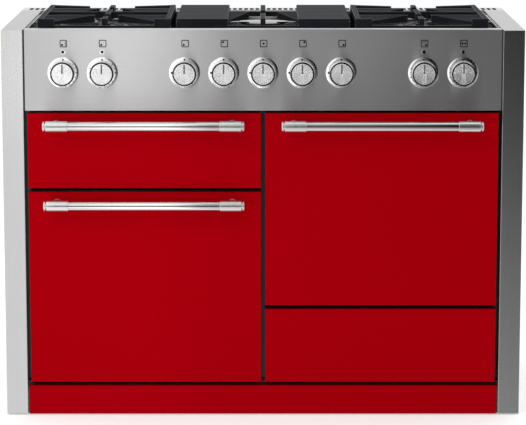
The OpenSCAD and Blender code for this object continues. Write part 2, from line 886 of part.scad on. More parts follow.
// Control panel: folded sheet with a rolled top edge
module control_panel() {
    color([0.75, 0.75, 0.74])
        difference() {
            union() {
                block([-panel_x, face_y, panel_z0], [panel_x, face_y + sheet_t, panel_top - roll_r]);
                bar_x([-panel_x, face_y + roll_r, panel_top - roll_r], 2 * roll_r, 2 * panel_x);
                block([-panel_x, face_y + roll_r, panel_top - sheet_t],
                      [panel_x, face_y + top_flange_d, panel_top]);
                block([-panel_x, face_y, panel_z0], [panel_x, liner_y, panel_z0 + sheet_t]);
            }
            for (x = knob_xs)
                bar_y([x, face_y - 1, knob_z], spindle_hole_d, sheet_t + 2);
            for (k = oven_knobs)
                bar_y([knob_xs[k], face_y - 1, knob_z + lens_up], lens_d - 1, sheet_t + 2);
        }
}

// Folded plinth that reaches back to the base pan
module plinth() {
    color([0.6, 0, 0.05]) {
        block([-panel_x, face_y, floor_gap], [panel_x, face_y + sheet_t, plinth_top]);
        block([-panel_x, face_y, plinth_top - sheet_t], [panel_x, frame_y, plinth_top]);
        block([-panel_x, face_y, floor_gap], [panel_x, face_y + plinth_fold, floor_gap + sheet_t]);
    }
}

// Pressed tray between the columns, with holes for the burners
module hob_tray() {
    x = panel_x - 1;
    color([0.75, 0.75, 0.76])
        difference() {
            union() {
                block([-x, tray_y0, tray_z - sheet_t], [x, tray_y1, cap_h - vent_t]);
                block([-inner_x, tray_y0, cap_h - tray_lip], [inner_x, tray_y1, cap_h - tray_lip + sheet_t]);
                block([-x, tray_y0, tray_z], [x, tray_y0 + sheet_t, panel_top - sheet_t]);
            }
            block([-x + sheet_t, tray_y0 + sheet_t, tray_z],
                  [x - sheet_t, tray_y1 - sheet_t, panel_top]);
            for (b = burners)
                bar_z([b.x, b.y, tray_z - sheet_t - 1], stem_w + 2 * joint_gap, sheet_t + 2);
        }
}

// Flat strip at the rear with one row of slots
module rear_vent_trim() {
    slots = floor((range_w - slot_pitch) / slot_pitch);
    color([0.85, 0.85, 0.84])
        difference() {
            union() {
                block([-range_w / 2, tray_y1, cap_h - vent_t], [range_w / 2, back_y, cap_h]);
                block([-inner_x, back_y - sheet_t, cap_h - trim_fold], [inner_x, back_y, cap_h]);
            }
            for (k = [0 : slots - 1])
                block([(k - (slots - 1) / 2) * slot_pitch - slot_w / 2,
                       tray_y1 + (vent_d - slot_l) / 2, cap_h - vent_t - 1],
                      [(k - (slots - 1) / 2) * slot_pitch + slot_w / 2,
                       tray_y1 + (vent_d + slot_l) / 2, cap_h + 1]);
        }
}

// Turned knob: skirt, waist and face, with a blind bore for the spindle
module knob(i) {
    waist_d = knob_face_d - 1;
    color([0.8, 0.8, 0.8])
        translate([knob_xs[i], face_y - knob_gap, knob_z])
            rotate([90, 0, 0])
                difference() {
                    rotate_extrude()
                        polygon([
                            [0, 0], [knob_d / 2, 0], [knob_d / 2, knob_h * 0.3],
                            [knob_d / 2 - 1, knob_h * 0.35], [waist_d / 2, knob_h * 0.35],
                            [waist_d / 2, knob_h - 2], [knob_face_d / 2, knob_h - 1.5],
                            [knob_face_d / 2 - 1, knob_h], [0, knob_h]
                        ]);
                    translate([0, 0, -1])
                        cylinder(d = spindle_d + 2 * run_clear, h = spindle_in + 2);
                }
}

module spindle(i) {
    color([0.8, 0.75, 0.55])
        bar_y([knob_xs[i], face_y - knob_gap - spindle_in, knob_z], spindle_d,
              knob_gap + spindle_in + sheet_t + valve_bore - push_travel - 2);
}

module knob_bezels() {
    color([0.85, 0.85, 0.84])
        for (x = knob_xs)
            difference() {
                bar_y([x, face_y - bezel_t, knob_z], bezel_d, bezel_t);
                bar_y([x, face_y - bezel_t - 1, knob_z], bezel_hole_d, bezel_t + 2);
            }
}

module indicator_lights() {
    color([0.5, 0.02, 0.02])
        for (k = oven_knobs) {
            bar_y([knob_xs[k], face_y, knob_z + lens_up], lens_d - 1, lens_body_l);
            bar_y([knob_xs[k], face_y - lens_proud, knob_z + lens_up], lens_d, lens_proud);
        }
}

// Switch bodies behind the panel, each with its own stub spindle
module oven_switches() {
    color([0.85, 0.85, 0.8])
        for (k = oven_knobs) {
            x = knob_xs[k];
            block([x - switch_w / 2, face_y + sheet_t, knob_z - switch_h / 2],
                  [x + switch_w / 2, face_y + sheet_t + switch_d, knob_z + switch_h / 2]);
            bar_y([x, face_y - knob_gap - spindle_in, knob_z], spindle_d,
                  knob_gap + spindle_in + sheet_t + 1);
        }
}

// Square rail behind the valves and the supply pipe to the rear inlet
module gas_manifold() {
    y0 = face_y + sheet_t + valve_d;
    x0 = knob_xs[gas_knobs[0]] - valve_w;
    color([0.72, 0.62, 0.35]) {
        block([x0, y0, knob_z - rail_w / 2], [inlet_x + rail_w / 2, y0 + rail_w, knob_z + rail_w / 2]);
        bar_y([inlet_x, y0 + rail_w - 1, knob_z], rail_w, back_panel_y + sheet_t + 2 - y0 - rail_w);
        bar_y([inlet_x, back_panel_y + sheet_t, knob_z], nut_d, nut_t);
        bar_y([inlet_x, back_panel_y + sheet_t + 1, knob_z], inlet_d, service_d - sheet_t - 2);
    }
}

// Gas valves on the rail, each with its feed pipe to one burner
module gas_valves() {
    y0 = face_y + sheet_t;
    step_z = pipe_d + 3;
    aside = 14;
    color([0.72, 0.62, 0.35])
        for (n = [0 : 4]) {
            x = knob_xs[gas_knobs[n]];
            b = burners[n];
            rear = n == 1 || n == 3;
            side = sign(b.x);
            level = knob_z + switch_h / 2 + pipe_d / 2 + 3 + (rear ? step_z : 0);
            px = b.x == 0 ? x : b.x - side * (rear ? aside : 0);
            py = y0 + valve_d / 2;
            difference() {
                block([x - valve_w / 2, y0, knob_z - valve_h / 2],
                      [x + valve_w / 2, y0 + valve_d, knob_z + valve_h / 2]);
                bar_y([x, y0 - 1, knob_z], spindle_d + 2 * run_clear, valve_bore + 1);
            }
            bent_tube([[x, py, knob_z + valve_h / 2 - 1], [x, py, level], [px, py, level],
                       [px, b.y, level], [px, b.y, tray_z - stem_down]], pipe_d);
        }
}

// Burner heads: stem through the tray, foot, slotted crown
module burner_heads() {
    color([0.7, 0.7, 0.71])
        for (n = [0 : 4])
            let (b = burners[n], d = n == 2 ? wok_head_d : head_d)
                translate([b.x, b.y, tray_z]) {
                    translate([0, 0, -stem_down])
                        cylinder(d = stem_w, h = stem_down + 1);
                    cylinder(d = d + head_foot_w, h = head_foot_t);
                    cylinder(d = d - 8, h = head_h - 4);
                    translate([0, 0, head_h - crown_h])
                        difference() {
                            cylinder(d = d, h = crown_h);
                            for (k = [0 : 11])
                                rotate([0, 0, k * 30])
                                    translate([d / 2 - port_in, -port_w / 2, crown_h / 2])
                                        cube([port_in + 2, port_w, crown_h]);
                        }
                }
}

module burner_caps() {
    color([0.05, 0.05, 0.05])
        for (n = [0 : 4])
            let (b = burners[n], d = n == 2 ? wok_cap_d : cap_d)
                translate([b.x, b.y, tray_z + head_h])
                    rotate_extrude()
                        polygon([[0, 0], [d / 2 - 1.5, 0], [d / 2, 1.5], [d / 2, cap_t - 2.5],
                                 [d / 2 - 2.5, cap_t - 0.8], [0, cap_t]]);
}

// Cast bar along X or Y at the top of a grate
module cast_x(x0, x1, y) {
    block([min(x0, x1), y - bar_w / 2, bar_z], [max(x0, x1), y + bar_w / 2, grate_z]);
}

module cast_y(x, y0, y1) {
    block([x - bar_w / 2, min(y0, y1), bar_z], [x + bar_w / 2, max(y0, y1), grate_z]);
}

// Low front or rear rail of a grate, under the tops of its bars
module low_rail(x0, x1, y) {
    block([min(x0, x1), y - bar_w / 2, bar_z - low_rail_h], [max(x0, x1), y + bar_w / 2, bar_z]);
}

// Foot of a grate, down to the tray
module cast_foot(x, y) {
    block([x - bar_w / 2, y - bar_w / 2, tray_z + joint_gap], [x + bar_w / 2, y + bar_w / 2, bar_z + 1]);
}

// Corner post of a grate, as a face from the low rail to the top
module corner_post(x, inward, y) {
    block([min(x, x + inward * post_w), y - bar_w / 2, bar_z - low_rail_h],
          [max(x, x + inward * post_w), y + bar_w / 2, grate_z]);
}

// Roof-shaped wing with a ridge bar, from a side of the grate towards a burner
module wing(base, tip, y, half) {
    intersection() {
        translate([0, 0, bar_z - wing_edge])
            linear_extrude(bar_h + wing_edge)
                polygon([[base, y - half], [base, y + half], [tip, y + 1], [tip, y - 1]]);
        translate([min(base, tip), y, grate_z])
            rotate([90, 0, 90])
                linear_extrude(abs(tip - base))
                    polygon([[0, 0], [half, -wing_drop], [half, -wing_drop - wing_edge],
                             [-half, -wing_drop - wing_edge], [-half, -wing_drop]]);
    }
    cast_x(base, tip, y);
}

// Bar from a rear corner of a grate towards the rear burner
module corner_bar(x, inward) {
    y = grate_y + grate_d;
    translate([0, 0, bar_z + 2])
        linear_extrude(bar_h - 2)
            polygon([
                [x, y], [x, y - 2 * bar_w],
                [x + inward * corner_l, y - corner_in - bar_w], [x + inward * corner_l, y - corner_in]
            ]);
}

// Grate over two burners: side rails, spine, wings, low front and rear rails
module outer_grate(side) {
    a = side * (outer_in + bar_w / 2);
    c = side * (outer_out - bar_w / 2);
    m = side * outer_mid;
    y0 = grate_y + bar_w / 2;
    y1 = grate_y + grate_d - bar_w / 2;
    color([0.07, 0.07, 0.07]) {
        for (y = [y0, y1])
            low_rail(a, c, y);
        cast_x(a, m, wok_y);
        cast_x(c, m, wok_y);
        cast_y(m, y0, front_burner_y - finger_gap);
        cast_y(m, front_burner_y + finger_gap, rear_burner_y - finger_gap);
        cast_y(m, rear_burner_y + finger_gap, y1);
        for (x = [a, c]) {
            inward = sign(m - x);
            cast_y(x, grate_y, grate_y + grate_d);
            corner_post(x - inward * bar_w / 2, inward, y0);
            corner_bar(x - inward * bar_w / 2, inward);
            wing(x, m - inward * finger_gap, front_burner_y, front_wing);
            wing(x, m - inward * finger_gap, rear_burner_y, rear_wing);
            for (y = [y0, y1])
                cast_foot(x, y);
        }
    }
}

// Centre grate: two slotted blocks with an open middle over one large burner
module centre_grate() {
    y0 = grate_y + bar_w / 2;
    y1 = grate_y + grate_d - bar_w / 2;
    slots = 3;
    wok_gap = finger_gap + 6;
    color([0.07, 0.07, 0.07]) {
        for (s = [-1, 1]) {
            difference() {
                block([min(s * block_in, s * centre_half), grate_y, bar_z - low_rail_h],
                      [max(s * block_in, s * centre_half), grate_y + grate_d, grate_z]);
                block([min(s * (block_in + bar_w), s * (centre_half - bar_w)), grate_y + bar_w,
                       bar_z - low_rail_h - 1],
                      [max(s * (block_in + bar_w), s * (centre_half - bar_w)),
                       grate_y + grate_d - bar_w, grate_z - block_t]);
                for (k = [1 : slots])
                    block([min(s * (block_in + bar_w), s * (centre_half - bar_w)),
                           grate_y + k * grate_d / (slots + 1) - groove_h / 2, grate_z - block_t - 1],
                          [max(s * (block_in + bar_w), s * (centre_half - bar_w)),
                           grate_y + k * grate_d / (slots + 1) + groove_h / 2, grate_z + 1]);
            }
            for (y = [y0, y1])
                cast_foot(s * (centre_half - bar_w / 2), y);
            wing(s * (block_in + 1), s * wok_gap, wok_y, wok_wing);
        }
        for (y = [y0, y1])
            low_rail(-block_in - 1, block_in + 1, y);
        cast_y(0, y0, wok_y - wok_gap);
        cast_y(0, wok_y + wok_gap, y1);
    }
}

// Screw heads on the rear panel and the column backs
module screws() {
    z1 = tray_z - screw_down;
    z0 = base_z + screw_up;
    count = 4;
    color([0.7, 0.7, 0.7]) {
        for (z = [z0, z1])
            for (k = [0 : count - 1])
                bar_y([-inner_x + screw_down + k * 2 * (inner_x - screw_down) / (count - 1),
                       back_panel_y + sheet_t, z], screw_d, screw_t);
        for (s = [-1, 1])
            for (k = [1 : 3])
                bar_y([s * (inner_x - screw_side), back_panel_y + sheet_t, z0 + k * (z1 - z0) / count],
                      screw_d, screw_t);
    }
}

base_pan();
column(-1);  // left_column
column(1);  // right_column
back_panel();
front_frame();
control_panel();
plinth();
hob_tray();
rear_vent_trim();
oven_liner(left_front);  // left_oven_liner
oven_liner(right_front);  // right_oven_liner
grill_liner();
oven_racks();
grill_pan();
fan_motors();
heating_elements();
burner_heads();
burner_caps();
knob_bezels();
indicator_lights();
gas_manifold();
gas_valves();
oven_switches();
door_seals();
screws();
levelling_feet();
door_panel(grill_front);  // grill_door_panel
door_liner(grill_front);  // grill_door_liner
door_hinges(grill_front);  // grill_door_hinges
door_handle(grill_front);  // grill_door_handle
door_panel(left_front);  // left_door_panel
door_liner(left_front);  // left_door_liner
door_hinges(left_front);  // left_door_hinges
door_handle(left_front);  // left_door_handle
door_panel(right_front);  // right_door_panel
door_liner(right_front);  // right_door_liner
door_hinges(right_front);  // right_door_hinges
door_handle(right_front);  // right_door_handle
drawer_front();
drawer_box();
knob(0);  // grill_knob
knob(1);  // oven_function_knob
knob(2);  // front_left_knob
knob(3);  // rear_left_knob
knob(4);  // centre_knob
knob(5);  // rear_right_knob
knob(6);  // front_right_knob
knob(7);  // left_oven_knob
knob(8);  // right_oven_knob
spindle(2);  // front_left_spindle
spindle(3);  // rear_left_spindle
spindle(4);  // centre_spindle
spindle(5);  // rear_right_spindle
spindle(6);  // front_right_spindle
outer_grate(-1);  // left_grate
centre_grate();
outer_grate(1);  // right_grate
oven_fan(left_front);  // left_fan
oven_fan(right_front);  // right_fan
rear_rollers();
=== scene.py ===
# Dual fuel range cooker: camera, studio, finishes and the pieces that are finer than the frame
import json
import math

import bmesh
import bpy
import numpy as np
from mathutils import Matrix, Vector

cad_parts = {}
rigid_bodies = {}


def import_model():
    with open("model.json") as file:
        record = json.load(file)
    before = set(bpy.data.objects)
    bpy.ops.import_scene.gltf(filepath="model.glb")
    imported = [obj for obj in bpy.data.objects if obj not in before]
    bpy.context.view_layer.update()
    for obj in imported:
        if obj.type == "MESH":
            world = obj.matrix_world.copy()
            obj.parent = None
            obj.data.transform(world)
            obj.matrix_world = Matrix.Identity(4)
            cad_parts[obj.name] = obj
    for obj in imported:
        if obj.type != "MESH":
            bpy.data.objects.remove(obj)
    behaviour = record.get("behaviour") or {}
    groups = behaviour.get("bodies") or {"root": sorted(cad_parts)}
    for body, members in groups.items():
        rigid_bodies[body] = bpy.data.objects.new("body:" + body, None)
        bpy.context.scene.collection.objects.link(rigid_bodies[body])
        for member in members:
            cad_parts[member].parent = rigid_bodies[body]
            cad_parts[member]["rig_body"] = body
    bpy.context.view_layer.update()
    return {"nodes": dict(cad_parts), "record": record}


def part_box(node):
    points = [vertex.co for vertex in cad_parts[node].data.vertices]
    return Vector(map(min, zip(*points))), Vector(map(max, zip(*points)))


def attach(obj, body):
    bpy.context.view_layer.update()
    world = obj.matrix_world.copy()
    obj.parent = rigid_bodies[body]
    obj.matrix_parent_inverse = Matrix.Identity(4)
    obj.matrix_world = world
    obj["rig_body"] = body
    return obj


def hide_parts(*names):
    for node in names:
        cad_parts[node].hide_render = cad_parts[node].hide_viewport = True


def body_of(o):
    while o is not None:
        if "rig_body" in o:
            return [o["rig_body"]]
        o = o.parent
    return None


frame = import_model()
nodes = frame["nodes"]

scene = bpy.context.scene
scene.view_settings.view_transform = "Standard"

# Camera: in front of the cooker, a little above it and tipped down at its middle
cameraSet = {
    "distance": 5.8,        # from the door faces
    "height": 1.477,
    "tip": 9.682,           # degrees below level
    "focal": 2510.8,        # in pixels of the photo
    "imageWidth": 526,
}
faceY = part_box("grill_door_panel")[0].y


def makeCamera():
    data = bpy.data.cameras.new("viewCamera")
    data.sensor_width = 36
    data.lens = data.sensor_width * cameraSet["focal"] / cameraSet["imageWidth"]
    data.clip_end = 50
    camera = bpy.data.objects.new("viewCamera", data)
    camera.location = (0, faceY - cameraSet["distance"], cameraSet["height"])
    camera.rotation_euler = (math.radians(90 - cameraSet["tip"]), 0, 0)
    scene.collection.objects.link(camera)
    scene.camera = camera


makeCamera()
print("camera set")


# Shader maths: a socket that takes part in Python expressions
class Val:
    def __init__(self, tree, socket):
        self.tree = tree
        self.socket = socket

    def maths(self, operation, first, second):
        return addNode(self.tree, "Math", {"operation": operation}, {0: first, 1: second})

    def __add__(self, other):
        return self.maths("ADD", self, other)

    def __radd__(self, other):
        return self.maths("ADD", other, self)

    def __mul__(self, other):
        return self.maths("MULTIPLY", self, other)


def addNode(tree, kind, settings=None, inputs=None, out=0):
    # settings go first, because they decide which sockets the node has
    node = tree.nodes.new("ShaderNode" + kind)
    for key, value in (settings or {}).items():
        if key == "stops":
            ramp = node.color_ramp
            while len(ramp.elements) < len(value):
                ramp.elements.new(0.5)
            for element, (place, colour) in zip(ramp.elements, value):
                element.position = place
                element.color = colour if len(colour) == 4 else (*colour, 1)
        else:
            setattr(node, key, value)
    for key, value in (inputs or {}).items():
        plug(tree, node.inputs[key], value)
    return Val(tree, node.outputs[out])


def plug(tree, socket, value):
    if isinstance(value, Val):
        tree.links.new(value.socket, socket)
    else:
        socket.default_value = value


class Finish:
    # A material with one principled shader; varying inputs are plugged by name
    def __init__(self, name, colour, **sockets):
        self.material = bpy.data.materials.new(name)
        self.material.use_nodes = True
        self.tree = self.material.node_tree
        self.shader = self.tree.nodes["Principled BSDF"]
        self.set("Base Color", (*colour, 1))
        for key, value in sockets.items():
            self.set(key.replace("_", " "), value)

    def set(self, socketName, value):
        plug(self.tree, self.shader.inputs[socketName], value)

    def add(self, kind, settings=None, inputs=None, out=0):
        return addNode(self.tree, kind, settings, inputs, out)

    def place(self, scale=(1, 1, 1), location=(0, 0, 0)):
        coords = self.add("TexCoord", out=3)
        return self.add("Mapping", None, {"Vector": coords, "Scale": scale, "Location": location})

    def noise(self, vector, scale, detail=3.0, rough=0.5):
        return self.add("TexNoise", None, {"Vector": vector, "Scale": scale, "Detail": detail,
                                           "Roughness": rough})

    def ramp(self, value, low, high, stops):
        spread = self.add("MapRange", None, {"Value": value, "From Min": low, "From Max": high})
        return self.add("ValToRGB", {"stops": stops}, {"Fac": spread})

    def bump(self, height, strength, distance):
        normal = self.add("Bump", None, {"Height": height, "Strength": strength,
                                         "Distance": distance})
        self.set("Normal", normal)

    def cloudy(self, cloud, dark, light, rough, drop, sway, low=0.3, high=0.7):
        # colour and roughness follow one noise: from low to high, and rough - drop + sway x noise
        self.set("Base Color", self.ramp(cloud, low, high, [(0, dark), (1, light)]))
        self.set("Roughness", rough - drop + cloud * sway)
        finishes[self.material.name] = self


# Finishes
steelSet = {"base": (0.67, 0.67, 0.67), "rough": 0.4, "panelSmear": 1.0, "smearTurn": 0.25,
            "columnTint": (0.78, 0.78, 0.78, 1)}
enamelSet = {"base": (0.305, 0.0, 0.003), "rough": 0.16, "specular": 0.35,
             "tint": (1.0, 0.0, 0.02, 1)}
ironSet = {"base": (0.008, 0.009, 0.0115), "rough": 0.66, "grains": 900, "specular": 0.10}
edgeSheenSet = {"base": (0.03, 0.031, 0.034), "rough": 0.36, "specular": 0.45}     # iron edges: glossier, and a paler colour that is painted highlight
brushSet = {"low": 0.3, "high": 0.7, "drop": 0.03, "hairSway": 0.07, "cloudSway": 0.04}
finishes = {}


def scaled(colour, share):
    return tuple(min(value * share, 1) for value in colour)


def brushedSteel(name, base, rough, along, lines=1500, grain=0.02, depth=0.000006):
    # fine lines along one axis: noise squeezed in that direction, with a slow tint under it
    steel = Finish(name, base, Metallic=1.0, Roughness=rough)
    stretch = tuple(1.0 if axis == along else float(lines) for axis in "xyz")
    hair = steel.noise(steel.place(stretch), scale=1.0, detail=3.0, rough=0.6)
    cloud = steel.noise(steel.place(), scale=7.0, detail=2.0)
    s = brushSet
    stops = [(0, scaled(base, 1 - 2 * grain)), (1, scaled(base, 1 + grain))]
    steel.set("Base Color", steel.ramp(hair, s["low"], s["high"], stops))
    steel.set("Roughness", rough - s["drop"] + hair * s["hairSway"] + cloud * s["cloudSway"])
    steel.bump(hair, strength=0.15, distance=depth)
    finishes[name] = steel
    return steel


def spunSteel(name, base, rough, pitch, deep):
    # turned rings: the height is a sine of the radius that the piece carries as an attribute
    steel = Finish(name, base, Metallic=1.0, Roughness=rough)
    radius = steel.add("Attribute", {"attribute_name": "radius"}, out=2)
    rings = steel.add("Math", {"operation": "SINE"}, {0: radius * (2 * math.pi / pitch)})
    cloud = steel.noise(steel.place(), scale=60.0, detail=2.0)
    steel.cloudy(cloud, scaled(base, 0.94), base, rough, drop=0.02, sway=0.05)
    steel.bump(rings, strength=1.0, distance=deep)


def enamel(name, base, rough, specular, orange=0.05):
    # baked enamel: even colour, a faint cloud, and a very low orange peel
    glaze = Finish(name, base, Roughness=rough)
    glaze.set("Specular IOR Level", specular)
    cloud = glaze.noise(glaze.place(), scale=3.0, detail=2.0)
    peel = glaze.noise(glaze.place(), scale=260.0, detail=2.0)
    glaze.cloudy(cloud, scaled(base, 0.97), base, rough, drop=0.01, sway=0.02)
    glaze.bump(peel, strength=orange, distance=0.0001)
    return glaze


def castIron(name, base, rough, specular):
    # matt cast surface: a coarse sand grain and worn, slightly paler patches
    iron = Finish(name, base, Roughness=rough)
    iron.set("Specular IOR Level", specular)
    sand = iron.noise(iron.place(), scale=ironSet["grains"], detail=4.0, rough=0.7)
    patch = iron.noise(iron.place(), scale=18.0, detail=3.0)
    iron.cloudy(patch, base, scaled(base, 1.9), rough, drop=0.08, sway=0.16, low=0.4, high=0.8)
    iron.bump(sand, strength=0.35, distance=0.0002)


def plainMetal(name, base, rough, mottle=0.06, scale=40.0):
    # smooth metal with faint patches, darker by the share that mottle gives
    metal = Finish(name, base, Metallic=1.0, Roughness=rough)
    patch = metal.noise(metal.place(), scale, detail=3.0)
    metal.cloudy(patch, scaled(base, 1 - mottle), base, rough, drop=0.02, sway=0.05)
    metal.bump(patch, strength=0.05, distance=0.0002)


def moulded(name, base, rough, scale=500.0, strength=0.1):
    # plastic or rubber with a fine grain
    plastic = Finish(name, base, Roughness=rough)
    grain = plastic.noise(plastic.place(), scale, detail=2.0)
    cloud = plastic.noise(plastic.place(), scale=12.0, detail=2.0)
    plastic.cloudy(cloud, scaled(base, 0.9), base, rough, drop=0.03, sway=0.06)
    plastic.bump(grain, strength, distance=0.0002)
    return plastic


panelSteel = brushedSteel("panelSteel", steelSet["base"], steelSet["rough"], "x")
panelSteel.set("Anisotropic", steelSet["panelSmear"])
panelSteel.set("Anisotropic Rotation", steelSet["smearTurn"])     # reflections smear upright
brushedSteel("columnSteel", (0.62, 0.62, 0.62), 0.22, "z").set(
    "Specular Tint", steelSet["columnTint"])
brushedSteel("trimSteel", (0.66, 0.66, 0.65), 0.28, "x")
spunSteel("bezelSteel", (0.92, 0.92, 0.92), 0.2, pitch=0.0009, deep=0.00001)
spunSteel("knobMetal", (0.92, 0.92, 0.92), 0.26, pitch=0.0009, deep=0.00006)
plainMetal("traySteel", (0.8, 0.8, 0.79), 0.1, mottle=0.03, scale=12.0)
plainMetal("polishedSteel", (0.74, 0.74, 0.73), 0.1, mottle=0.03)
plainMetal("satinSteel", (0.78, 0.78, 0.77), 0.3, mottle=0.03)
plainMetal("zincSteel", (0.5, 0.51, 0.52), 0.42, mottle=0.18, scale=22.0)
plainMetal("rackWire", (0.66, 0.66, 0.65), 0.2)
plainMetal("burnerAlloy", (0.55, 0.55, 0.54), 0.4, mottle=0.15)
plainMetal("motorSteel", (0.42, 0.43, 0.44), 0.42, mottle=0.15)
plainMetal("elementSteel", (0.2, 0.17, 0.15), 0.45, mottle=0.3)
plainMetal("gasBrass", (0.62, 0.46, 0.2), 0.32, mottle=0.1)
enamel("redEnamel", enamelSet["base"], enamelSet["rough"], enamelSet["specular"]).set(
    "Specular Tint", enamelSet["tint"])
enamel("blackEnamel", (0.012, 0.012, 0.013), 0.16, specular=0.5)
enamel("capEnamel", (0.006, 0.006, 0.007), 0.04, specular=0.9, orange=0.01)
enamel("innerPanel", (0.05, 0.05, 0.052), 0.3, specular=0.4)
castIron("castIron", ironSet["base"], ironSet["rough"], ironSet["specular"])
# glossier iron for the rounded edges; its paler colour is painted highlight
castIron("edgeSheen", edgeSheenSet["base"], edgeSheenSet["rough"], edgeSheenSet["specular"])
moulded("switchPlastic", (0.62, 0.61, 0.57), 0.45)
moulded("redLens", (0.012, 0.001, 0.001), 0.12, scale=200.0, strength=0.02).set(
    "Specular IOR Level", 0.2)
moulded("sealRubber", (0.03, 0.03, 0.03), 0.6)
moulded("rollerRubber", (0.02, 0.02, 0.02), 0.55)
moulded("markPaint", (0.004, 0.004, 0.004), 0.5).set("Specular IOR Level", 0.15)
# near-black sheet under the vent slots: painted shade
moulded("ventShadeBlack", (0.003, 0.003, 0.003), 0.9, scale=900.0).set("Specular IOR Level", 0.05)
moulded("ringBlack", (0.004, 0.004, 0.004), 0.25, scale=300.0, strength=0.03).set(
    "Specular IOR Level", 0.2)
moulded("pointerGrey", (0.07, 0.07, 0.07), 0.5)

slotFinish = {
    "red_enamel": "redEnamel", "brushed_steel": "panelSteel", "tray_steel": "traySteel",
    "bezel_steel": "bezelSteel", "polished_steel": "polishedSteel", "knob_metal": "knobMetal",
    "cast_iron": "castIron", "black_enamel": "blackEnamel", "inner_panel": "innerPanel",
    "zinc_steel": "zincSteel", "rack_wire": "rackWire", "burner_alloy": "burnerAlloy",
    "motor_steel": "motorSteel", "element_steel": "elementSteel", "gas_brass": "gasBrass",
    "switch_plastic": "switchPlastic", "red_lens": "redLens", "seal_rubber": "sealRubber",
    "roller_rubber": "rollerRubber",
}
nodeFinish = {"left_column": "columnSteel", "right_column": "columnSteel",
              "rear_vent_trim": "trimSteel", "burner_caps": "blackEnamel"}


def dressNodes():
    # every CAD node takes the finish of its slot, or its own where one is named above
    for part in frame["record"]["subparts"]:
        finish = nodeFinish.get(part["node"]) or slotFinish[part["material_slot"]]
        mesh = nodes[part["node"]].data
        mesh.materials.clear()
        mesh.materials.append(finishes[finish].material)


dressNodes()
print(len(finishes), "finishes made")


# World, lights, floor and the card that the steel, the enamel and the handles reflect
studioSet = {
    "ambient": 0.72,
    # name, place, size, power
    "lamps": [("keyLamp", (-1.6, -3.2, 3.1), 1.6, 34.0), ("fillLamp", (-1.5, -2.3, 0.1), 1.6, 22.0),
              ("topLamp", (0.2, 0.4, 3.0), 1.8, 14.0)],
    "lampAim": (0, 0, 0.5),
    "cardAhead": 2.2, "cardHalf": 3.2, "cardLow": -4.0, "cardHigh": 5.0,
    "cardGlow": 1.52, "floorGlow": 0.33,
    "stripAhead": 0.11, "stripDown": 0.009, "stripUp": 0.018,
    # brightness of the wide card along x
    "tones": [(-1.33, 1.0), (-0.86, 0.46), (-0.74, 0.53), (-0.63, 0.78), (-0.41, 1.0), (-0.3, 1.0),
              (-0.22, 0.23), (-0.075, 0.21), (0.18, 0.205), (0.57, 0.06), (0.68, 0.0), (2.4, 0.0),
              (3.0, 1.0)],
    "toneLow": -2.0, "toneHigh": 3.0,
    # light added low on the card, by height and by x
    "lift": 0.25, "liftLow": -0.8, "liftHigh": 0.5, "sideLow": -0.7, "sideHigh": 0.1,
    # a bright band, by height and by x
    "band": 1.6, "bandLow": 0.4, "bandHigh": 0.8, "bandStops": (0.2, 0.3, 1.0),
    "leftLow": -1.0, "leftHigh": 0.0, "leftStops": (0.3, 0.33, 0.55, 0.75),
    "roomHalf": 9, "floorGrey": 0.93,
}


def makeWorld():
    world = bpy.data.worlds.new("whiteRoom")
    world.use_nodes = True
    tree = world.node_tree
    # full white for the camera and for reflections, the ambient level for all other light
    path = addNode(tree, "LightPath").socket.node
    seen = Val(tree, path.outputs["Is Camera Ray"]) + Val(tree, path.outputs["Is Glossy Ray"])
    seen = addNode(tree, "Math", {"operation": "MINIMUM"},
                   {0: seen + Val(tree, path.outputs["Is Transmission Ray"]), 1: 1.0})
    strength = studioSet["ambient"] + seen * (1 - studioSet["ambient"])
    back = tree.nodes["Background"]
    plug(tree, back.inputs["Color"], (1, 1, 1, 1))
    plug(tree, back.inputs["Strength"], strength)
    scene.world = world


def makeLight(name, place, size, power):
    data = bpy.data.lights.new(name, "AREA")
    data.shape = "SQUARE"
    data.size = size
    data.energy = power
    lamp = bpy.data.objects.new(name, data)
    lamp.location = place
    aim = Vector(studioSet["lampAim"]) - Vector(place)
    lamp.rotation_euler = aim.to_track_quat("-Z", "Y").to_euler()
    lamp.visible_glossy = False
    scene.collection.objects.link(lamp)


def makeFloor():
    mesh = bpy.data.meshes.new("studioFloor")
    half, grey = studioSet["roomHalf"], studioSet["floorGrey"]
    mesh.from_pydata([(-half, -half, 0), (half, -half, 0), (half, half, 0), (-half, half, 0)], [],
                     [(0, 1, 2, 3)])
    floor = bpy.data.objects.new("studioFloor", mesh)
    scene.collection.objects.link(floor)
    paint = Finish("floorPaint", (grey, grey, grey), Roughness=0.6)
    paint.set("Specular IOR Level", 0.1)
    paint.set("Emission Color", (1, 1, 1, 1))
    paint.set("Emission Strength", studioSet["floorGlow"])
    floor.data.materials.append(paint.material)
    floor.visible_glossy = False


def glossyCard(name, ahead, left, right, low, high):
    # an upright card in front of the cooker that only glossy rays see
    y = faceY - ahead
    mesh = bpy.data.meshes.new(name)
    mesh.from_pydata([(left, y, low), (right, y, low), (right, y, high), (left, y, high)], [],
                     [(0, 1, 2, 3)])
    card = bpy.data.objects.new(name, mesh)
    scene.collection.objects.link(card)
    card.visible_camera = False
    card.visible_diffuse = False
    card.visible_shadow = False
    card.visible_transmission = False
    return card


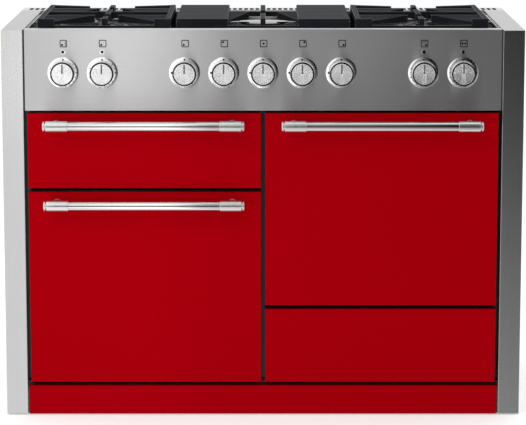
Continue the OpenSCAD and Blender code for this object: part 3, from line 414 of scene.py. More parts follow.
def makeCards():
    # the wide card is white on the left and dark on the right; a black strip before each handle
    # is the dark line that it reflects
    s = studioSet
    card = glossyCard("reflectionCard", s["cardAhead"], -s["cardHalf"], s["cardHalf"], s["cardLow"],
                      s["cardHigh"])
    paint = Finish("cardPaint", (0, 0, 0))
    split = paint.add("SeparateXYZ", None, {0: paint.add("TexCoord", out=3)})
    z = Val(paint.tree, split.socket.node.outputs[2])
    low, high = s["toneLow"], s["toneHigh"]
    stops = [((x - low) / (high - low), (grey, grey, grey)) for x, grey in s["tones"]]
    tone = paint.ramp(split, low, high, stops)
    # the lower middle and right of the card are lifted
    lift = paint.ramp(z, s["liftLow"], s["liftHigh"], [(0.0, (s["lift"],) * 3), (1.0, (0, 0, 0))])
    side = paint.add("MapRange", None, {"Value": split, "From Min": s["sideLow"],
                                        "From Max": s["sideHigh"]})
    shade = paint.add("Mix", {"data_type": "RGBA", "blend_type": "ADD"},
                      {0: side, 6: tone, 7: lift}, out=2)
    # the panel's left end reflects the band that stands just above the doors' reflections
    dark, full = (0, 0, 0), (1, 1, 1)
    band = paint.ramp(z, s["bandLow"], s["bandHigh"],
                      list(zip(s["bandStops"], (dark, (s["band"],) * 3, dark))))
    left = paint.ramp(split, s["leftLow"], s["leftHigh"],
                      list(zip(s["leftStops"], (dark, full, full, dark))))
    shade = paint.add("Mix", {"data_type": "RGBA", "blend_type": "ADD"},
                      {0: left, 6: shade, 7: band}, out=2)
    glow = paint.add("Emission", None, {"Color": shade, "Strength": s["cardGlow"]})
    paint.tree.links.new(glow.socket, paint.tree.nodes["Material Output"].inputs["Surface"])
    card.data.materials.append(paint.material)
    # black card that only glossy rays see: the handle bars reflect it as a dark line, a painted
    # reflection
    handleStripBlack = Finish("stripPaint", (0, 0, 0), Roughness=1.0)
    handleStripBlack.set("Specular IOR Level", 0.0)
    for door in ("grill", "left", "right"):
        low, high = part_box(door + "_door_handle")
        z = (low.z + high.z) / 2
        strip = glossyCard(door + "Strip", s["stripAhead"], low.x, high.x, z - s["stripDown"],
                           z + s["stripUp"])
        strip.data.materials.append(handleStripBlack.material)


makeWorld()
for lamp in studioSet["lamps"]:
    makeLight(*lamp)
makeFloor()
makeCards()
print("studio lit")


# Mesh tools: a surface is a pair of points and faces, worked out as whole arrays
seam = 1e-6        # points closer than this are one
axisOrder = {"z": (0, 1, 2), "y": (0, 2, 1), "x": (1, 2, 0)}      # first, second and long axis


def gridFaces(rows, columns, closeRows=False, closeColumns=False):
    # the quads between neighbouring points of a grid, wrapped round where it is closed
    i, j = np.meshgrid(np.arange(rows if closeRows else rows - 1),
                       np.arange(columns if closeColumns else columns - 1), indexing="ij")
    down, right = (i + 1) % rows, (j + 1) % columns
    quads = (i * columns + j, down * columns + j, down * columns + right, i * columns + right)
    return np.stack(quads, -1).reshape(-1, 4).tolist()


def roundedBlock(low, high, radius, steps=3):
    # corner of the inner box + radius x direction, on the six sides of a blown-up cube
    low, high = np.array(low, float), np.array(high, float)
    half, mid = (high - low) / 2, (high + low) / 2
    radius = min(radius, *(half * 0.999))
    angle = np.radians(np.linspace(0, 45, steps + 1))
    tangent = np.concatenate([-np.tan(angle[::-1]), np.tan(angle)])
    sign = np.concatenate([-np.ones(steps + 1), np.ones(steps + 1)])
    u, v = np.meshgrid(tangent, tangent, indexing="ij")
    su, sv = np.meshgrid(sign, sign, indexing="ij")
    points, faces = [], []
    for axis in range(3):
        for side in (-1, 1):
            order = [(axis + 1) % 3, (axis + 2) % 3, axis]
            direction, corner = np.zeros(u.shape + (3,)), np.zeros(u.shape + (3,))
            for slot, values, signs in zip(order, (u, v, np.full_like(u, side)),
                                           (su, sv, np.full_like(u, side))):
                direction[..., slot] = values
                corner[..., slot] = signs * (half[slot] - radius)
            direction /= np.linalg.norm(direction, axis=-1, keepdims=True)
            start = len(points) * u.size
            points.append((mid + corner + radius * direction).reshape(-1, 3))
            faces += [[start + k for k in quad] for quad in gridFaces(*u.shape)]
    return np.concatenate(points), faces


def turned(profile, centre, axis="z", count=48, phase=0.0):
    # a profile of (radius, height) pairs carried round an axis: radius x (cos, sin) + height
    profile = np.array(profile, float)
    angle = np.linspace(0, 2 * np.pi, count, endpoint=False) + phase
    radius, height = profile[:, 0][:, None], profile[:, 1][:, None] * np.ones(count)
    first, second = radius * np.cos(angle), radius * np.sin(angle)
    order = {"z": (first, second, height), "y": (first, height, -second),
             "x": (height, first, second)}
    points = np.stack(order[axis], -1) + np.array(centre, float)
    return points.reshape(-1, 3), gridFaces(len(profile), count, closeColumns=True)


def roundCorner(start, corner, end, steps=4):
    # quarter arc between two points round a corner: a blend of both by cosine and sine
    angle = np.linspace(0, np.pi / 2, steps + 1)[:, None]
    start, corner, end = (np.array(p, float) for p in (start, corner, end))
    points = corner + (start - corner) * (1 - np.sin(angle)) + (end - corner) * (1 - np.cos(angle))
    return points.tolist()


def outlineSlab(outline, low, high, axis="z"):
    # a closed outline carried straight from low to high, with both ends closed
    outline = np.array(outline, float)
    count = len(outline)
    flat = axisOrder[axis]
    points = np.zeros((2, count, 3))
    for layer, level in enumerate((low, high)):
        points[layer, :, flat[0]] = outline[:, 0]
        points[layer, :, flat[1]] = outline[:, 1]
        points[layer, :, flat[2]] = level
    faces = gridFaces(2, count, closeColumns=True)
    faces += [list(range(count))[::-1], list(range(count, 2 * count))]
    return points.reshape(-1, 3), faces


def ringPoints(radius, count, centre=(0, 0), start=0.0, sweep=360.0):
    # points on a circle: centre + radius x (cos, sin)
    angle = np.radians(start + np.linspace(0, sweep, count, endpoint=sweep < 360))
    return np.stack([centre[0] + radius * np.cos(angle), centre[1] + radius * np.sin(angle)], -1)


def roundedOutline(low, high, radius, steps=6):
    # a rectangle with quarter-circle corners
    left, right, down, up = low[0] + radius, high[0] - radius, low[1] + radius, high[1] - radius
    middles = [((right, up), 0), ((left, up), 90), ((left, down), 180), ((right, down), 270)]
    return np.concatenate([ringPoints(radius, steps + 1, c, a, 90) for c, a in middles])


def framePath(outer, inner, low, high, axis="z"):
    # a flat ring between two outlines with the same number of points, from low to high
    count = len(outer)
    flat = axisOrder[axis]
    loops = [(outer, low), (outer, high), (inner, high), (inner, low)]
    points = np.zeros((4, count, 3))
    for row, (loop, level) in enumerate(loops):
        points[row, :, flat[0]] = loop[:, 0]
        points[row, :, flat[1]] = loop[:, 1]
        points[row, :, flat[2]] = level
    return points.reshape(-1, 3), gridFaces(4, count, closeRows=True, closeColumns=True)


def keepRadius(mesh, centres):
    # each point's distance from the nearest of the upright-plane centres, for turned rings
    places = np.empty(len(mesh.vertices) * 3)
    mesh.vertices.foreach_get("co", places)
    flat = places.reshape(-1, 3)[:, [0, 2]]
    gaps = np.linalg.norm(flat[:, None] - np.array(centres)[None], axis=2)
    mesh.attributes.new("radius", "FLOAT", "POINT").data.foreach_set("value", gaps.min(1))


def makePiece(name, shapes, finish, body, replaced=(), bevel=0.0, sharp=35.0, spun=None):
    # joins the shapes, closes their seams, points the faces outwards and hands the piece over
    points, faces, start = [], [], 0
    for shapePoints, shapeFaces in shapes:
        points.append(shapePoints)
        faces += [[start + k for k in face] for face in shapeFaces]
        start += len(shapePoints)
    mesh = bpy.data.meshes.new(name)
    mesh.from_pydata(np.concatenate(points).tolist(), [], faces)
    work = bmesh.new()
    work.from_mesh(mesh)
    bmesh.ops.remove_doubles(work, verts=work.verts, dist=seam)
    bmesh.ops.dissolve_degenerate(work, edges=work.edges, dist=seam)
    bmesh.ops.recalc_face_normals(work, faces=work.faces)
    work.to_mesh(mesh)
    work.free()
    mesh.polygons.foreach_set("use_smooth", np.ones(len(mesh.polygons), bool))
    mesh.set_sharp_from_angle(angle=math.radians(sharp))
    mesh.materials.append(finishes[finish].material)
    if spun:
        keepRadius(mesh, spun)
    piece = bpy.data.objects.new(name, mesh)
    scene.collection.objects.link(piece)
    if bevel:
        edge = piece.modifiers.new("edge", "BEVEL")
        edge.width = bevel
        edge.segments = 2
        edge.limit_method = "ANGLE"
        edge.angle_limit = math.radians(sharp)
    piece.modifiers.new("weights", "WEIGHTED_NORMAL").keep_sharp = True
    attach(piece, body)
    if replaced:
        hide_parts(*replaced)


def bodyOf(node):
    # the body that carries a CAD node
    return body_of(nodes[node])[0]


def slab(low, high):
    # a plain sheet or bar between two corners
    outline = [(low[0], low[1]), (high[0], low[1]), (high[0], high[1]), (low[0], high[1])]
    return outlineSlab(outline, low[2], high[2])


print("mesh tools ready")

# Door and drawer fronts: a plate with rolled edges, thin returns and an inward rim
frontSet = {"plate": 0.0068, "edge": 0.0028, "sheet": 0.0015, "rim": 0.012,
            "hingeSide": 0.060, "notchHalf": 0.006}


def foldedFront(name, node, hinged):
    low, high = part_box(node)
    edge, sheet, rim = frontSet["edge"], frontSet["sheet"], frontSet["rim"]
    start = low.y + edge
    shapes = [roundedBlock(low, (high.x, low.y + frontSet["plate"], high.z), edge, 4)]
    cuts = [low.x]
    if hinged:
        for middle in (low.x + frontSet["hingeSide"], high.x - frontSet["hingeSide"]):
            cuts += [middle - frontSet["notchHalf"], middle + frontSet["notchHalf"]]
    cuts.append(high.x)
    for x0, x1 in zip(cuts[::2], cuts[1::2]):      # the lower fold stops at each hinge
        shapes.append(slab((x0, start, low.z), (x1, high.y, low.z + sheet)))
        shapes.append(slab((x0, high.y - sheet, low.z + sheet), (x1, high.y, low.z + rim)))
    shapes.append(slab((low.x, start, high.z - sheet), (high.x, high.y, high.z)))
    shapes.append(slab((low.x, high.y - sheet, high.z - rim), (high.x, high.y, high.z - sheet)))
    for x0, x1, r0, r1 in ((low.x, low.x + sheet, low.x + sheet, low.x + rim),
                           (high.x - sheet, high.x, high.x - rim, high.x - sheet)):
        shapes.append(slab((x0, start, low.z + sheet), (x1, high.y, high.z - sheet)))
        shapes.append(slab((r0, high.y - sheet, low.z + rim), (r1, high.y, high.z - rim)))
    makePiece(name, shapes, "redEnamel", bodyOf(node), [node])


for door in ("grill", "left", "right"):
    foldedFront(door + "DoorFace", door + "_door_panel", True)
foldedFront("drawerFace", "drawer_front", False)


plinthSet = {"round": 0.003, "sheet": 0.0015, "foot": 0.020}


def foldedPlinth():
    # an upright face with a rolled top edge, a shelf back to the base and a foot fold
    low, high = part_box("plinth")
    radius, sheet, foot = plinthSet["round"], plinthSet["sheet"], plinthSet["foot"]
    z1 = high.z
    side = [(low.y + foot, low.z), (low.y, low.z), (low.y, z1 - radius)]
    side += roundCorner((low.y, z1 - radius), (low.y, z1), (low.y + radius, z1), 5)[1:]
    side.append((high.y, z1))
    inner = [(high.y, z1 - sheet), (low.y + radius, z1 - sheet)]
    inner += roundCorner((low.y + radius, z1 - sheet), (low.y + sheet, z1 - sheet),
                         (low.y + sheet, z1 - radius), 5)[1:]
    inner += [(low.y + sheet, low.z + sheet), (low.y + foot, low.z + sheet)]
    makePiece("plinthFace", [outlineSlab(side + inner, low.x, high.x, "x")], "redEnamel",
              "cooker_body", ["plinth"])


foldedPlinth()
print("fronts folded")

# Bar handles: a polished bar in two satin end castings, each on a post, with a button at its end
handleSet = {"barRadius": 0.0112, "castRadius": 0.0128, "castLong": 0.0575, "button": 0.0045,
             "buttonRadius": 0.0118, "gap": 0.0022, "neck": 0.0075, "round": 0.0022, "post": 0.007,
             "postFlare": 0.0032, "lip": 0.0008, "shoulder": 0.001, "overlap": 0.004}


def barHandle(name, node):
    low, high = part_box(node)
    s = handleSet
    r, wide, button, long = s["castRadius"], s["buttonRadius"], s["button"], s["castLong"]
    lip, shoulder = s["lip"], s["shoulder"]
    y, z = low.y + r, (low.z + high.z) / 2
    start = button + s["gap"]
    end = [(0, 0)] + roundCorner((wide - s["round"], 0), (wide, 0), (wide, s["round"]), 5)
    end += roundCorner((wide, button - lip), (wide, button), (wide - lip, button), 3)
    end += [(s["neck"], button), (s["neck"], start)]
    end += roundCorner((r - lip, start), (r, start), (r, start + lip), 3)
    end += roundCorner((r, long - shoulder), (r, long), (r - shoulder, long), 3)
    end.append((s["barRadius"] - shoulder, long))
    end = np.array(end)
    castings = [turned(end, (low.x, y, z), "x", 56), turned(end * (1, -1), (high.x, y, z), "x", 56)]
    # each post flares into the casting and into the foot on the door
    depth = high.y - y
    step = np.linspace(0, 1, 15)
    flare = s["post"] + s["postFlare"] * ((1 - step) ** 8 + step ** 12)
    for x in (low.x + long / 2, high.x - long / 2):
        castings.append(turned(np.stack([flare, step * depth], -1), (x, y, z), "y", 36))
    makePiece(name + "Castings", castings, "satinSteel", bodyOf(node), [node])
    inset = long - s["overlap"]
    bar = [(s["barRadius"], inset), (s["barRadius"], high.x - low.x - inset)]
    makePiece(name, [turned(bar, (low.x, y, z), "x", 56)], "polishedSteel", bodyOf(node), [node])


for door in ("grill", "left", "right"):
    barHandle(door + "BarHandle", door + "_door_handle")
print("handles made")

# Knobs: a metal skirt and waist, a black ring and a spun face with a milled pointer
knobSet = {"waist": 0.0272, "ring": 0.0277, "face": 0.0243, "recess": 0.0012, "pointerWide": 0.0032,
           "pointerIn": 0.0005, "pointerOut": 0.0226, "pointerDeep": 0.0005, "bore": 0.00405,
           "backEdge": 0.001, "skirtFlat": 0.3, "skirtEnd": 0.34, "ringLong": 0.003,
           "faceEdge": 0.0005, "grooveRim": 0.0002, "inlayUp": 0.0001, "inlayWide": 0.92,
           "ringTuck": 0.0002, "ringLip": 0.0004, "ringRound": 0.0008}


def knobParts(node):
    low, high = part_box(node)
    s = knobSet
    x, z, rear, front = (low.x + high.x) / 2, (low.z + high.z) / 2, high.y, low.y
    skirt, deep = (high.x - low.x) / 2, high.y - low.y
    back, edge, neck = s["backEdge"], s["faceEdge"], deep - s["ringLong"]
    body = [(s["bore"], 0)] + roundCorner((skirt - back, 0), (skirt, 0), (skirt, back), 3)
    body += roundCorner((skirt, deep * s["skirtFlat"]), (skirt, deep * s["skirtEnd"]),
                        (s["waist"], deep * s["skirtEnd"]), 4)
    body += [(s["waist"], neck), (s["face"], neck), (s["face"], deep - edge)]
    faceEdge = roundCorner((s["face"], deep - edge), (s["face"], deep), (s["face"] - edge, deep), 3)
    body += faceEdge[1:]
    shapes = [turned(np.array(body) * (1, -1), (x, rear, z), "y", 72)]
    # the face is carried in from its edge to the rim of the pointer's groove
    wide, slack = s["pointerWide"] / 2, s["grooveRim"]
    inner, outer = s["pointerIn"], s["pointerOut"]
    ring = ringPoints(s["face"] - edge, 72)
    groove = [(-wide, inner), (wide, inner), (wide, outer), (-wide, outer)]
    rim = [(-wide - slack, inner - slack), (wide + slack, inner - slack),
           (wide + slack, outer + slack), (-wide - slack, outer + slack)]
    return shapes, ring, groove, rim, (x, front, z)


def makeKnob(node):
    shapes, ring, groove, rim, (x, front, z) = knobParts(node)
    body, s = node + "_body", knobSet
    # middle of the groove + direction to each edge point, cut off at the groove's rim
    middle = np.array([0, (groove[0][1] + groove[2][1]) / 2])
    half = np.array([rim[1][0], (rim[2][1] - rim[0][1]) / 2])
    direction = ring - middle
    reach = 1 / np.max(np.abs(direction) / half, axis=1)
    inner = middle + direction * reach[:, None]
    deep = s["pointerDeep"]
    inset = middle + (inner - middle) * (1 - s["grooveRim"] / half.min())
    rows = [(ring, 0.0), (inner, 0.0), (inset, deep)]
    points = np.concatenate([np.stack([x + loop[:, 0], np.full(len(loop), front + level),
                                       z + loop[:, 1]], -1) for loop, level in rows])
    faces = gridFaces(3, len(ring), closeColumns=True)
    faces.append(list(range(2 * len(ring), 3 * len(ring))))
    makePiece(node + "Face", shapes + [(points, faces)], "knobMetal", body, [node],
              spun=[(x, z)])
    inlay = [(x + px * s["inlayWide"], z + pz) for px, pz in groove]
    top = front + s["inlayUp"]
    makePiece(node + "Pointer", [outlineSlab(inlay, top, top + deep, "y")], "pointerGrey", body)
    height = s["ringLong"] - s["recess"]
    inner, outer, tuck, curve = s["face"], s["ring"], s["ringTuck"], s["ringRound"]
    black = [(inner - tuck, 0)]
    black += roundCorner((inner - tuck, height), (inner, height + tuck),
                         (inner + s["ringLip"], height), 2)
    black += roundCorner((outer - curve, height), (outer, height), (outer, height - curve), 3)
    black += [(outer, 0)]
    start = (x, front + s["ringLong"], z)
    makePiece(node + "Ring", [turned(np.array(black) * (1, -1), start, "y", 72)], "ringBlack", body)


# Bezels: a shallow domed ring, and the marks printed on it and over it
bezelSet = {"outer": 0.0362, "hole": 0.020, "rise": 0.0017, "edge": 0.0002, "flat": 0.0292,
            "zeroOut": 0.0306, "zero": 0.0020, "flame": 0.0025, "flameOut": 0.0298, "low": 0.0019,
            "ink": 0.00015, "flameTurn": 180, "lowTurn": -56}
tickSet = {"first": 50, "last": 290, "step": 20, "middle": 90, "start": 0.0292, "long": 0.0036,
           "short": 0.0024, "wide": 0.0014, "thin": 0.0008}
iconSet = {"up": 0.0680, "aside": 0.0015, "half": 0.0086, "corner": 0.0024, "line": 0.0019,
           "dot": 0.0025, "dotOut": 0.0032, "bar": 0.0008, "barOut": 0.0046, "barHalf": 0.0055,
           "lineOut": 0.004, "lineHalf": 0.0045, "over": 0.0002}


def domeLevel(radius):
    # height of the ring: rise at the flat, then a quarter sine down to its edge
    s = bezelSet
    part = np.clip((radius - s["flat"]) / (s["outer"] - s["flat"]), 0, 1)
    return s["edge"] + (s["rise"] - s["edge"]) * np.cos(part * np.pi / 2)


def drape(shape, x, z):
    # a flat mark bent over the ring: each point moves out by the dome's level at its radius
    points, faces = np.array(shape[0], float), shape[1]
    points[:, 1] -= domeLevel(np.hypot(points[:, 0] - x, points[:, 2] - z))
    return points, faces


def ringDot(x, z, degrees, out, radius):
    # a thin dot at an angle and a distance from the knob's middle, bent over the ring
    turn, ink = math.radians(degrees), bezelSet["ink"]
    disc = [(0, -ink), (radius, -ink), (radius, ink), (radius * 2 / 3, ink), (radius / 3, ink),
            (0, ink)]
    place = (x + out * math.cos(turn), faceY, z + out * math.sin(turn))
    return drape(turned(np.array(disc) * (1, -1), place, "y", 20), x, z)


inkLow, inkHigh = faceY - bezelSet["ink"], faceY + iconSet["over"]      # flat marks on the panel


def inkDot(x, z, radius):
    return outlineSlab(ringPoints(radius, 20, (x, z)), inkLow, inkHigh, "y")


def inkBox(x0, z0, x1, z1):
    return slab((x0, inkLow, z0), (x1, inkHigh, z1))


def dialTicks(x, z):
    # temperature ticks, clockwise from the top: every second one is long, the one at 90 is wide
    s, ink, ticks = tickSet, bezelSet["ink"], []
    for degrees in range(s["first"], s["last"] + 1, s["step"]):
        turn = math.radians(90 - degrees)
        ray = np.array([math.cos(turn), math.sin(turn)])
        across = np.array([-ray[1], ray[0]]) * s["wide" if degrees == s["middle"] else "thin"]
        isLong = (degrees - s["first"]) % (2 * s["step"]) == 0
        start, end = s["start"], s["start"] + s["long" if isLong else "short"]
        centre = np.array([x, z])
        outline = [centre + ray * start - across, centre + ray * end - across,
                   centre + ray * end + across, centre + ray * start + across]
        ticks.append(drape(outlineSlab(outline, faceY - ink, faceY + ink, "y"), x, z))
    return ticks


def bezelAndMarks(node, icon):
    low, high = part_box(node)
    s, t = bezelSet, iconSet
    x, z = (low.x + high.x) / 2, (low.z + high.z) / 2
    reach = np.linspace(s["flat"], s["outer"], 9)
    ring = [(s["hole"], 0), (s["hole"], s["rise"])]
    ring += np.stack([reach, domeLevel(reach)], -1).tolist()
    ring += [(s["outer"], 0), (s["hole"], 0)]
    bezels.append(turned(np.array(ring) * (1, -1), (x, faceY, z), "y", 72))
    centres.append((x, z))
    dots = [(90, s["zeroOut"], s["zero"])]
    if node in gasKnobs:
        dots += [(s["flameTurn"], s["flameOut"], s["flame"]),
                 (s["lowTurn"], s["flameOut"], s["low"])]
    marks.extend(ringDot(x, z, *dot) for dot in dots)
    if node in ovenKnobs:
        marks.extend(dialTicks(x, z))
    x += t["aside"]
    middle, half, thin = z + t["up"], t["half"], t["line"]
    outer = roundedOutline((x - half, middle - half), (x + half, middle + half), t["corner"])
    half -= thin
    inner = roundedOutline((x - half, middle - half), (x + half, middle + half), t["corner"] / 2)
    marks.append(framePath(outer, inner, inkLow, inkHigh, "y"))
    for kind, px, pz in icon:
        if kind == "dot":
            marks.append(inkDot(x + px * t["dotOut"], middle + pz * t["dotOut"], t["dot"]))
        elif kind == "bar":
            out = x + px * t["barOut"]
            marks.append(inkBox(out - t["bar"], middle - t["barHalf"], out + t["bar"],
                                middle + t["barHalf"]))
        else:
            level = middle + pz * t["lineOut"]
            marks.append(inkBox(x - t["lineHalf"], level - t["bar"], x + t["lineHalf"],
                                level + t["bar"]))


bezels, marks, centres = [], [], []
gasKnobs = ["front_left_knob", "rear_left_knob", "centre_knob", "rear_right_knob",
            "front_right_knob"]
ovenKnobs = ["grill_knob", "oven_function_knob", "left_oven_knob", "right_oven_knob"]
icons = {
    "grill_knob": [("dot", -1, -1), ("bar", 1, 0)], "oven_function_knob": [("dot", -1, -1)],
    "front_left_knob": [("dot", -1, -1)], "rear_left_knob": [("dot", -1, 1)],
    "centre_knob": [("dot", 0, 0)], "rear_right_knob": [("dot", 1, 1)],
    "front_right_knob": [("dot", 1, -1)],
    "left_oven_knob": [("dot", 1, -1), ("line", 0, 1)],
    "right_oven_knob": [("dot", 1, 0), ("dot", -1, 0)],
}
for knobNode in ovenKnobs + gasKnobs:
    makeKnob(knobNode)
    bezelAndMarks(knobNode, icons[knobNode])
makePiece("bezelRings", bezels, "bezelSteel", "cooker_body", ["knob_bezels"],
          spun=centres)
makePiece("printedMarks", marks, "markPaint", "cooker_body")
print("knobs turned")

# Indicator lights: a domed red lens in a thin bright collar
lensSet = {"radius": 0.0037, "collar": 0.0054, "proud": 0.0012, "collarProud": 0.0008,
           "collarRound": 0.0005, "body": 0.0115, "barrel": 0.00272, "rim": 0.0003, "clear": 0.0001}


def indicatorLights():
    s = lensSet
    low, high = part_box("indicator_lights")
    z = (low.z + high.z) / 2
    lenses, collars = [], []
    for node in ovenKnobs:
        knobLow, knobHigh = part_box(node)
        x = (knobLow.x + knobHigh.x) / 2
        a = np.linspace(0, np.pi / 2, 8)
        radius, up, wide, curve = s["radius"], s["collarProud"], s["collar"], s["collarRound"]
        dome = [(0, -s["body"]), (s["barrel"], -s["body"]), (s["barrel"], 0.0), (radius, 0.0)]
        dome += np.stack([radius * np.cos(a), s["rim"] + (s["proud"] - s["rim"]) * np.sin(a)],
                         -1).tolist()
        lenses.append(turned(np.array(dome) * (1, -1), (x, faceY, z), "y", 32))
        bore = radius + s["clear"]
        collar = [(bore, 0), (bore, up)]
        collar += roundCorner((wide - curve, up), (wide, up), (wide, up - curve), 3)
        collar += [(wide, 0), (bore, 0)]
        collars.append(turned(np.array(collar) * (1, -1), (x, faceY, z), "y", 32))
    makePiece("lampLenses", lenses, "redLens", "cooker_body", ["indicator_lights"])
    makePiece("lampCollars", collars, "polishedSteel", "cooker_body")


indicatorLights()
print("lamps fitted")

# Cast and pressed parts that follow the frame: a merged copy with its edges rounded
flatTurn = 0.5      # degrees: neighbouring faces that turn less than this are joined


def softened(node, width, sharp=30.0):
    part = next(p for p in frame["record"]["subparts"] if p["node"] == node)
    name = node.replace("_", " ").title().replace(" ", "")
    name = name[0].lower() + name[1:] + "Rounded"
    work = bmesh.new()
    work.from_mesh(nodes[node].data)
    bmesh.ops.remove_doubles(work, verts=work.verts, dist=seam)
    bmesh.ops.dissolve_limit(work, angle_limit=math.radians(flatTurn), verts=work.verts,
                             edges=work.edges)
    mesh = bpy.data.meshes.new(name)
    work.to_mesh(mesh)
    work.free()
    mesh.polygons.foreach_set("use_smooth", np.ones(len(mesh.polygons), bool))
    mesh.set_sharp_from_angle(angle=math.radians(sharp))
    mesh.materials.clear()
    mesh.materials.append(nodes[node].data.materials[0])
    piece = bpy.data.objects.new(name, mesh)
    scene.collection.objects.link(piece)
    edge = piece.modifiers.new("edge", "BEVEL")
    edge.width = width
    edge.segments = 3
    edge.limit_method = "ANGLE"
    edge.angle_limit = math.radians(sharp)
    if part["material_slot"] == "cast_iron":        # the rounded edges are glossier and painted paler, a painted highlight
        mesh.materials.append(finishes["edgeSheen"].material)
        edge.material = 1
    piece.modifiers.new("weights", "WEIGHTED_NORMAL").keep_sharp = True
    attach(piece, bodyOf(node))
    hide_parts(node)


roundedEdges = {
    "left_grate": 0.0018, "centre_grate": 0.0018, "right_grate": 0.0018, "control_panel": 0.0026,
    "left_column": 0.0009, "right_column": 0.0009, "rear_vent_trim": 0.0006, "hob_tray": 0.0012,
    "burner_heads": 0.0006, "back_panel": 0.0005, "base_pan": 0.0005, "front_frame": 0.0004,
    "left_oven_liner": 0.0006, "right_oven_liner": 0.0006, "grill_liner": 0.0006,
    "grill_pan": 0.0004, "fan_motors": 0.0008, "drawer_box": 0.0005, "levelling_feet": 0.0008,
    "rear_rollers": 0.0012, "gas_manifold": 0.0005, "grill_door_liner": 0.0005,
    "left_door_liner": 0.0005, "right_door_liner": 0.0005, "grill_door_hinges": 0.0006,
    "left_door_hinges": 0.0006, "right_door_hinges": 0.0006, "screws": 0.0003,
}
for edgeNode, edgeWidth in roundedEdges.items():
    softened(edgeNode, edgeWidth)
print("edges rounded:", len(roundedEdges))

# Burners: a smooth enamelled cap on each head, an igniter and a flame sensor beside it
burnerSet = {"rise": 0.0026, "edge": 0.0024, "foot": 0.0015, "ringIn": 0.015, "ringWide": 0.009,
             "ringHigh": 0.0032, "igniterOut": 0.0075, "sensorOut": 0.0070, "igniterTurn": 52,
             "sensorTurn": 128, "ceramic": 0.0028, "pin": 0.0012, "postSide": 0.012,
             "postTop": 0.0135, "postIn": 0.7, "tipLow": 0.0134, "tipSide": 0.0045,
             "tipTop": 0.0055, "traySheet": 0.0015,
             "capReach": 0.075, "searchReach": 0.08, "groupReach": 0.13}


def burnerTops():
    s = burnerSet
    caps, ceramics, pins, rings = [], [], [], []
    verts = np.array([v.co for v in nodes["burner_caps"].data.vertices])
    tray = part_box("hob_tray")[0].z + s["traySheet"]
    for x, y in burnerPlaces(verts):
        near = verts[np.linalg.norm(verts[:, :2] - (x, y), axis=1) < s["searchReach"]]
        radius, z0, z1 = np.abs(near[:, 0] - x).max(), near[:, 2].min(), near[:, 2].max()
        thick = z1 - z0
        # crowned disc: thick - rise x (r / radius) squared, with rolled edges
        r = np.linspace(0, radius - s["edge"], 10)
        top = np.stack([r, thick - s["rise"] * (r / radius) ** 2], -1).tolist()
        level = top[-1][1]
        profile = [(0, 0), (radius - s["foot"], 0), (radius, s["foot"])]
        profile += roundCorner((radius, level - s["edge"]), (radius, level),
                               (radius - s["edge"], level), 5)
        profile += top[::-1][1:]
        caps.append(turned(profile, (x, y, z0), "z", 64))
        # pressed ring round the burner: a half round bead, height x sine
        a = np.linspace(0, np.pi, 11)
        bead = np.stack([radius + s["ringIn"] + s["ringWide"] * (1 + np.cos(a)) / 2,
                         s["ringHigh"] * np.sin(a)], -1)
        rings.append(turned(bead.tolist() + [bead[0].tolist()], (x, y, tray), "z", 72))
        for turn, out, wide, kit in ((s["igniterTurn"], s["igniterOut"], s["ceramic"], ceramics),
                                     (s["sensorTurn"], s["sensorOut"], s["pin"] * 1.5, pins)):
            a = math.radians(turn)
            px, py = x + (radius + out) * math.cos(a), y + (radius + out) * math.sin(a)
            post = [(0, 0), (wide, 0), (wide, s["postSide"]), (wide * s["postIn"], s["postTop"]),
                    (0, s["postTop"])]
            kit.append(turned(post, (px, py, tray), "z", 20))
            tip = [(0, 0), (s["pin"], 0), (s["pin"], s["tipSide"]), (s["pin"] / 2, s["tipTop"]),
                   (0, s["tipTop"])]
            pins.append(turned(tip, (px, py, tray + s["tipLow"]), "z", 14))
    makePiece("burnerCapsCrowned", caps, "capEnamel", "cooker_body", ["burner_caps"])
    makePiece("burnerRings", rings, "polishedSteel", "cooker_body")
    makePiece("igniterCeramics", ceramics, "switchPlastic", "cooker_body")
    makePiece("igniterTips", pins, "rackWire", "cooker_body")


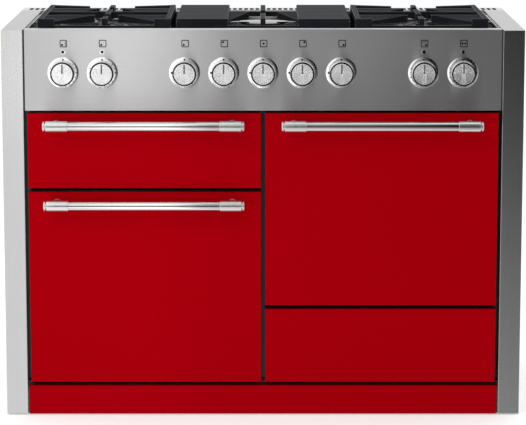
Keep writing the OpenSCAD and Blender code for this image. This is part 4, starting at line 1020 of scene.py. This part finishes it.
def burnerPlaces(verts):
    # the caps are discs: their points fall into five groups by nearness
    left, places = verts[:, :2], []
    while len(left):
        group = np.linalg.norm(left - left[0], axis=1) < burnerSet["groupReach"]
        for _ in range(3):
            middle = (left[group].min(0) + left[group].max(0)) / 2
            group = np.linalg.norm(left - middle, axis=1) < burnerSet["capReach"]
        places.append(tuple(middle))
        left = left[~group]
    return places


burnerTops()
print("burners topped")

# Vent slots: a black sheet just under the mouth of each slot of the rear trim, painted shade that
# makes each slot read as a dark hole
ventShadeSet = {"pitch": 0.0143, "wide": 0.009, "long": 0.050, "sunk": 0.0003, "shadeThick": 0.0015,
           "clear": 0.0003}


def ventShadeSheets():
    s = ventShadeSet
    low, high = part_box("rear_vent_trim")
    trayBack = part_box("hob_tray")[1].y
    y = (trayBack + high.y) / 2
    count = int((high.x - low.x - s["pitch"]) / s["pitch"] + seam)
    z = high.z - s["sunk"] - s["shadeThick"]
    wide, long = s["wide"] / 2 - s["clear"], s["long"] / 2 - s["clear"]
    shapes = []
    for k in range(count):
        x = (k - (count - 1) / 2) * s["pitch"]
        shapes.append(slab((x - wide, y - long, z), (x + wide, y + long, z + s["shadeThick"])))
    makePiece("ventShadeSheets", shapes, "ventShadeBlack", "cooker_body")


ventShadeSheets()
print("vents lined")

# Gap strips: black strips in the gap at each end of the control panel and of the plinth, painted shade
# that makes each gap read as deep and dark
gapShadeSet = {"sunk": 0.003, "deep": 0.012, "clear": 0.0002, "under": 0.001, "over": 0.002}


def gapShadeStrips():
    s = gapShadeSet
    shapes = []
    for node in ("control_panel", "plinth"):
        low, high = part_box(node)
        for x0, x1 in ((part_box("left_column")[1].x, low.x), (high.x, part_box("right_column")[0].x)):
            start = faceY + s["sunk"]
            shapes.append(slab((x0 + s["clear"], start, low.z + s["under"]),
                               (x1 - s["clear"], start + s["deep"], high.z - s["over"])))
    # the strips take the seal rubber finish, but they are painted shade in the gaps
    makePiece("gapShadeStrips", shapes, "sealRubber", "cooker_body")


gapShadeStrips()
print("gaps sealed")


print("pieces done")
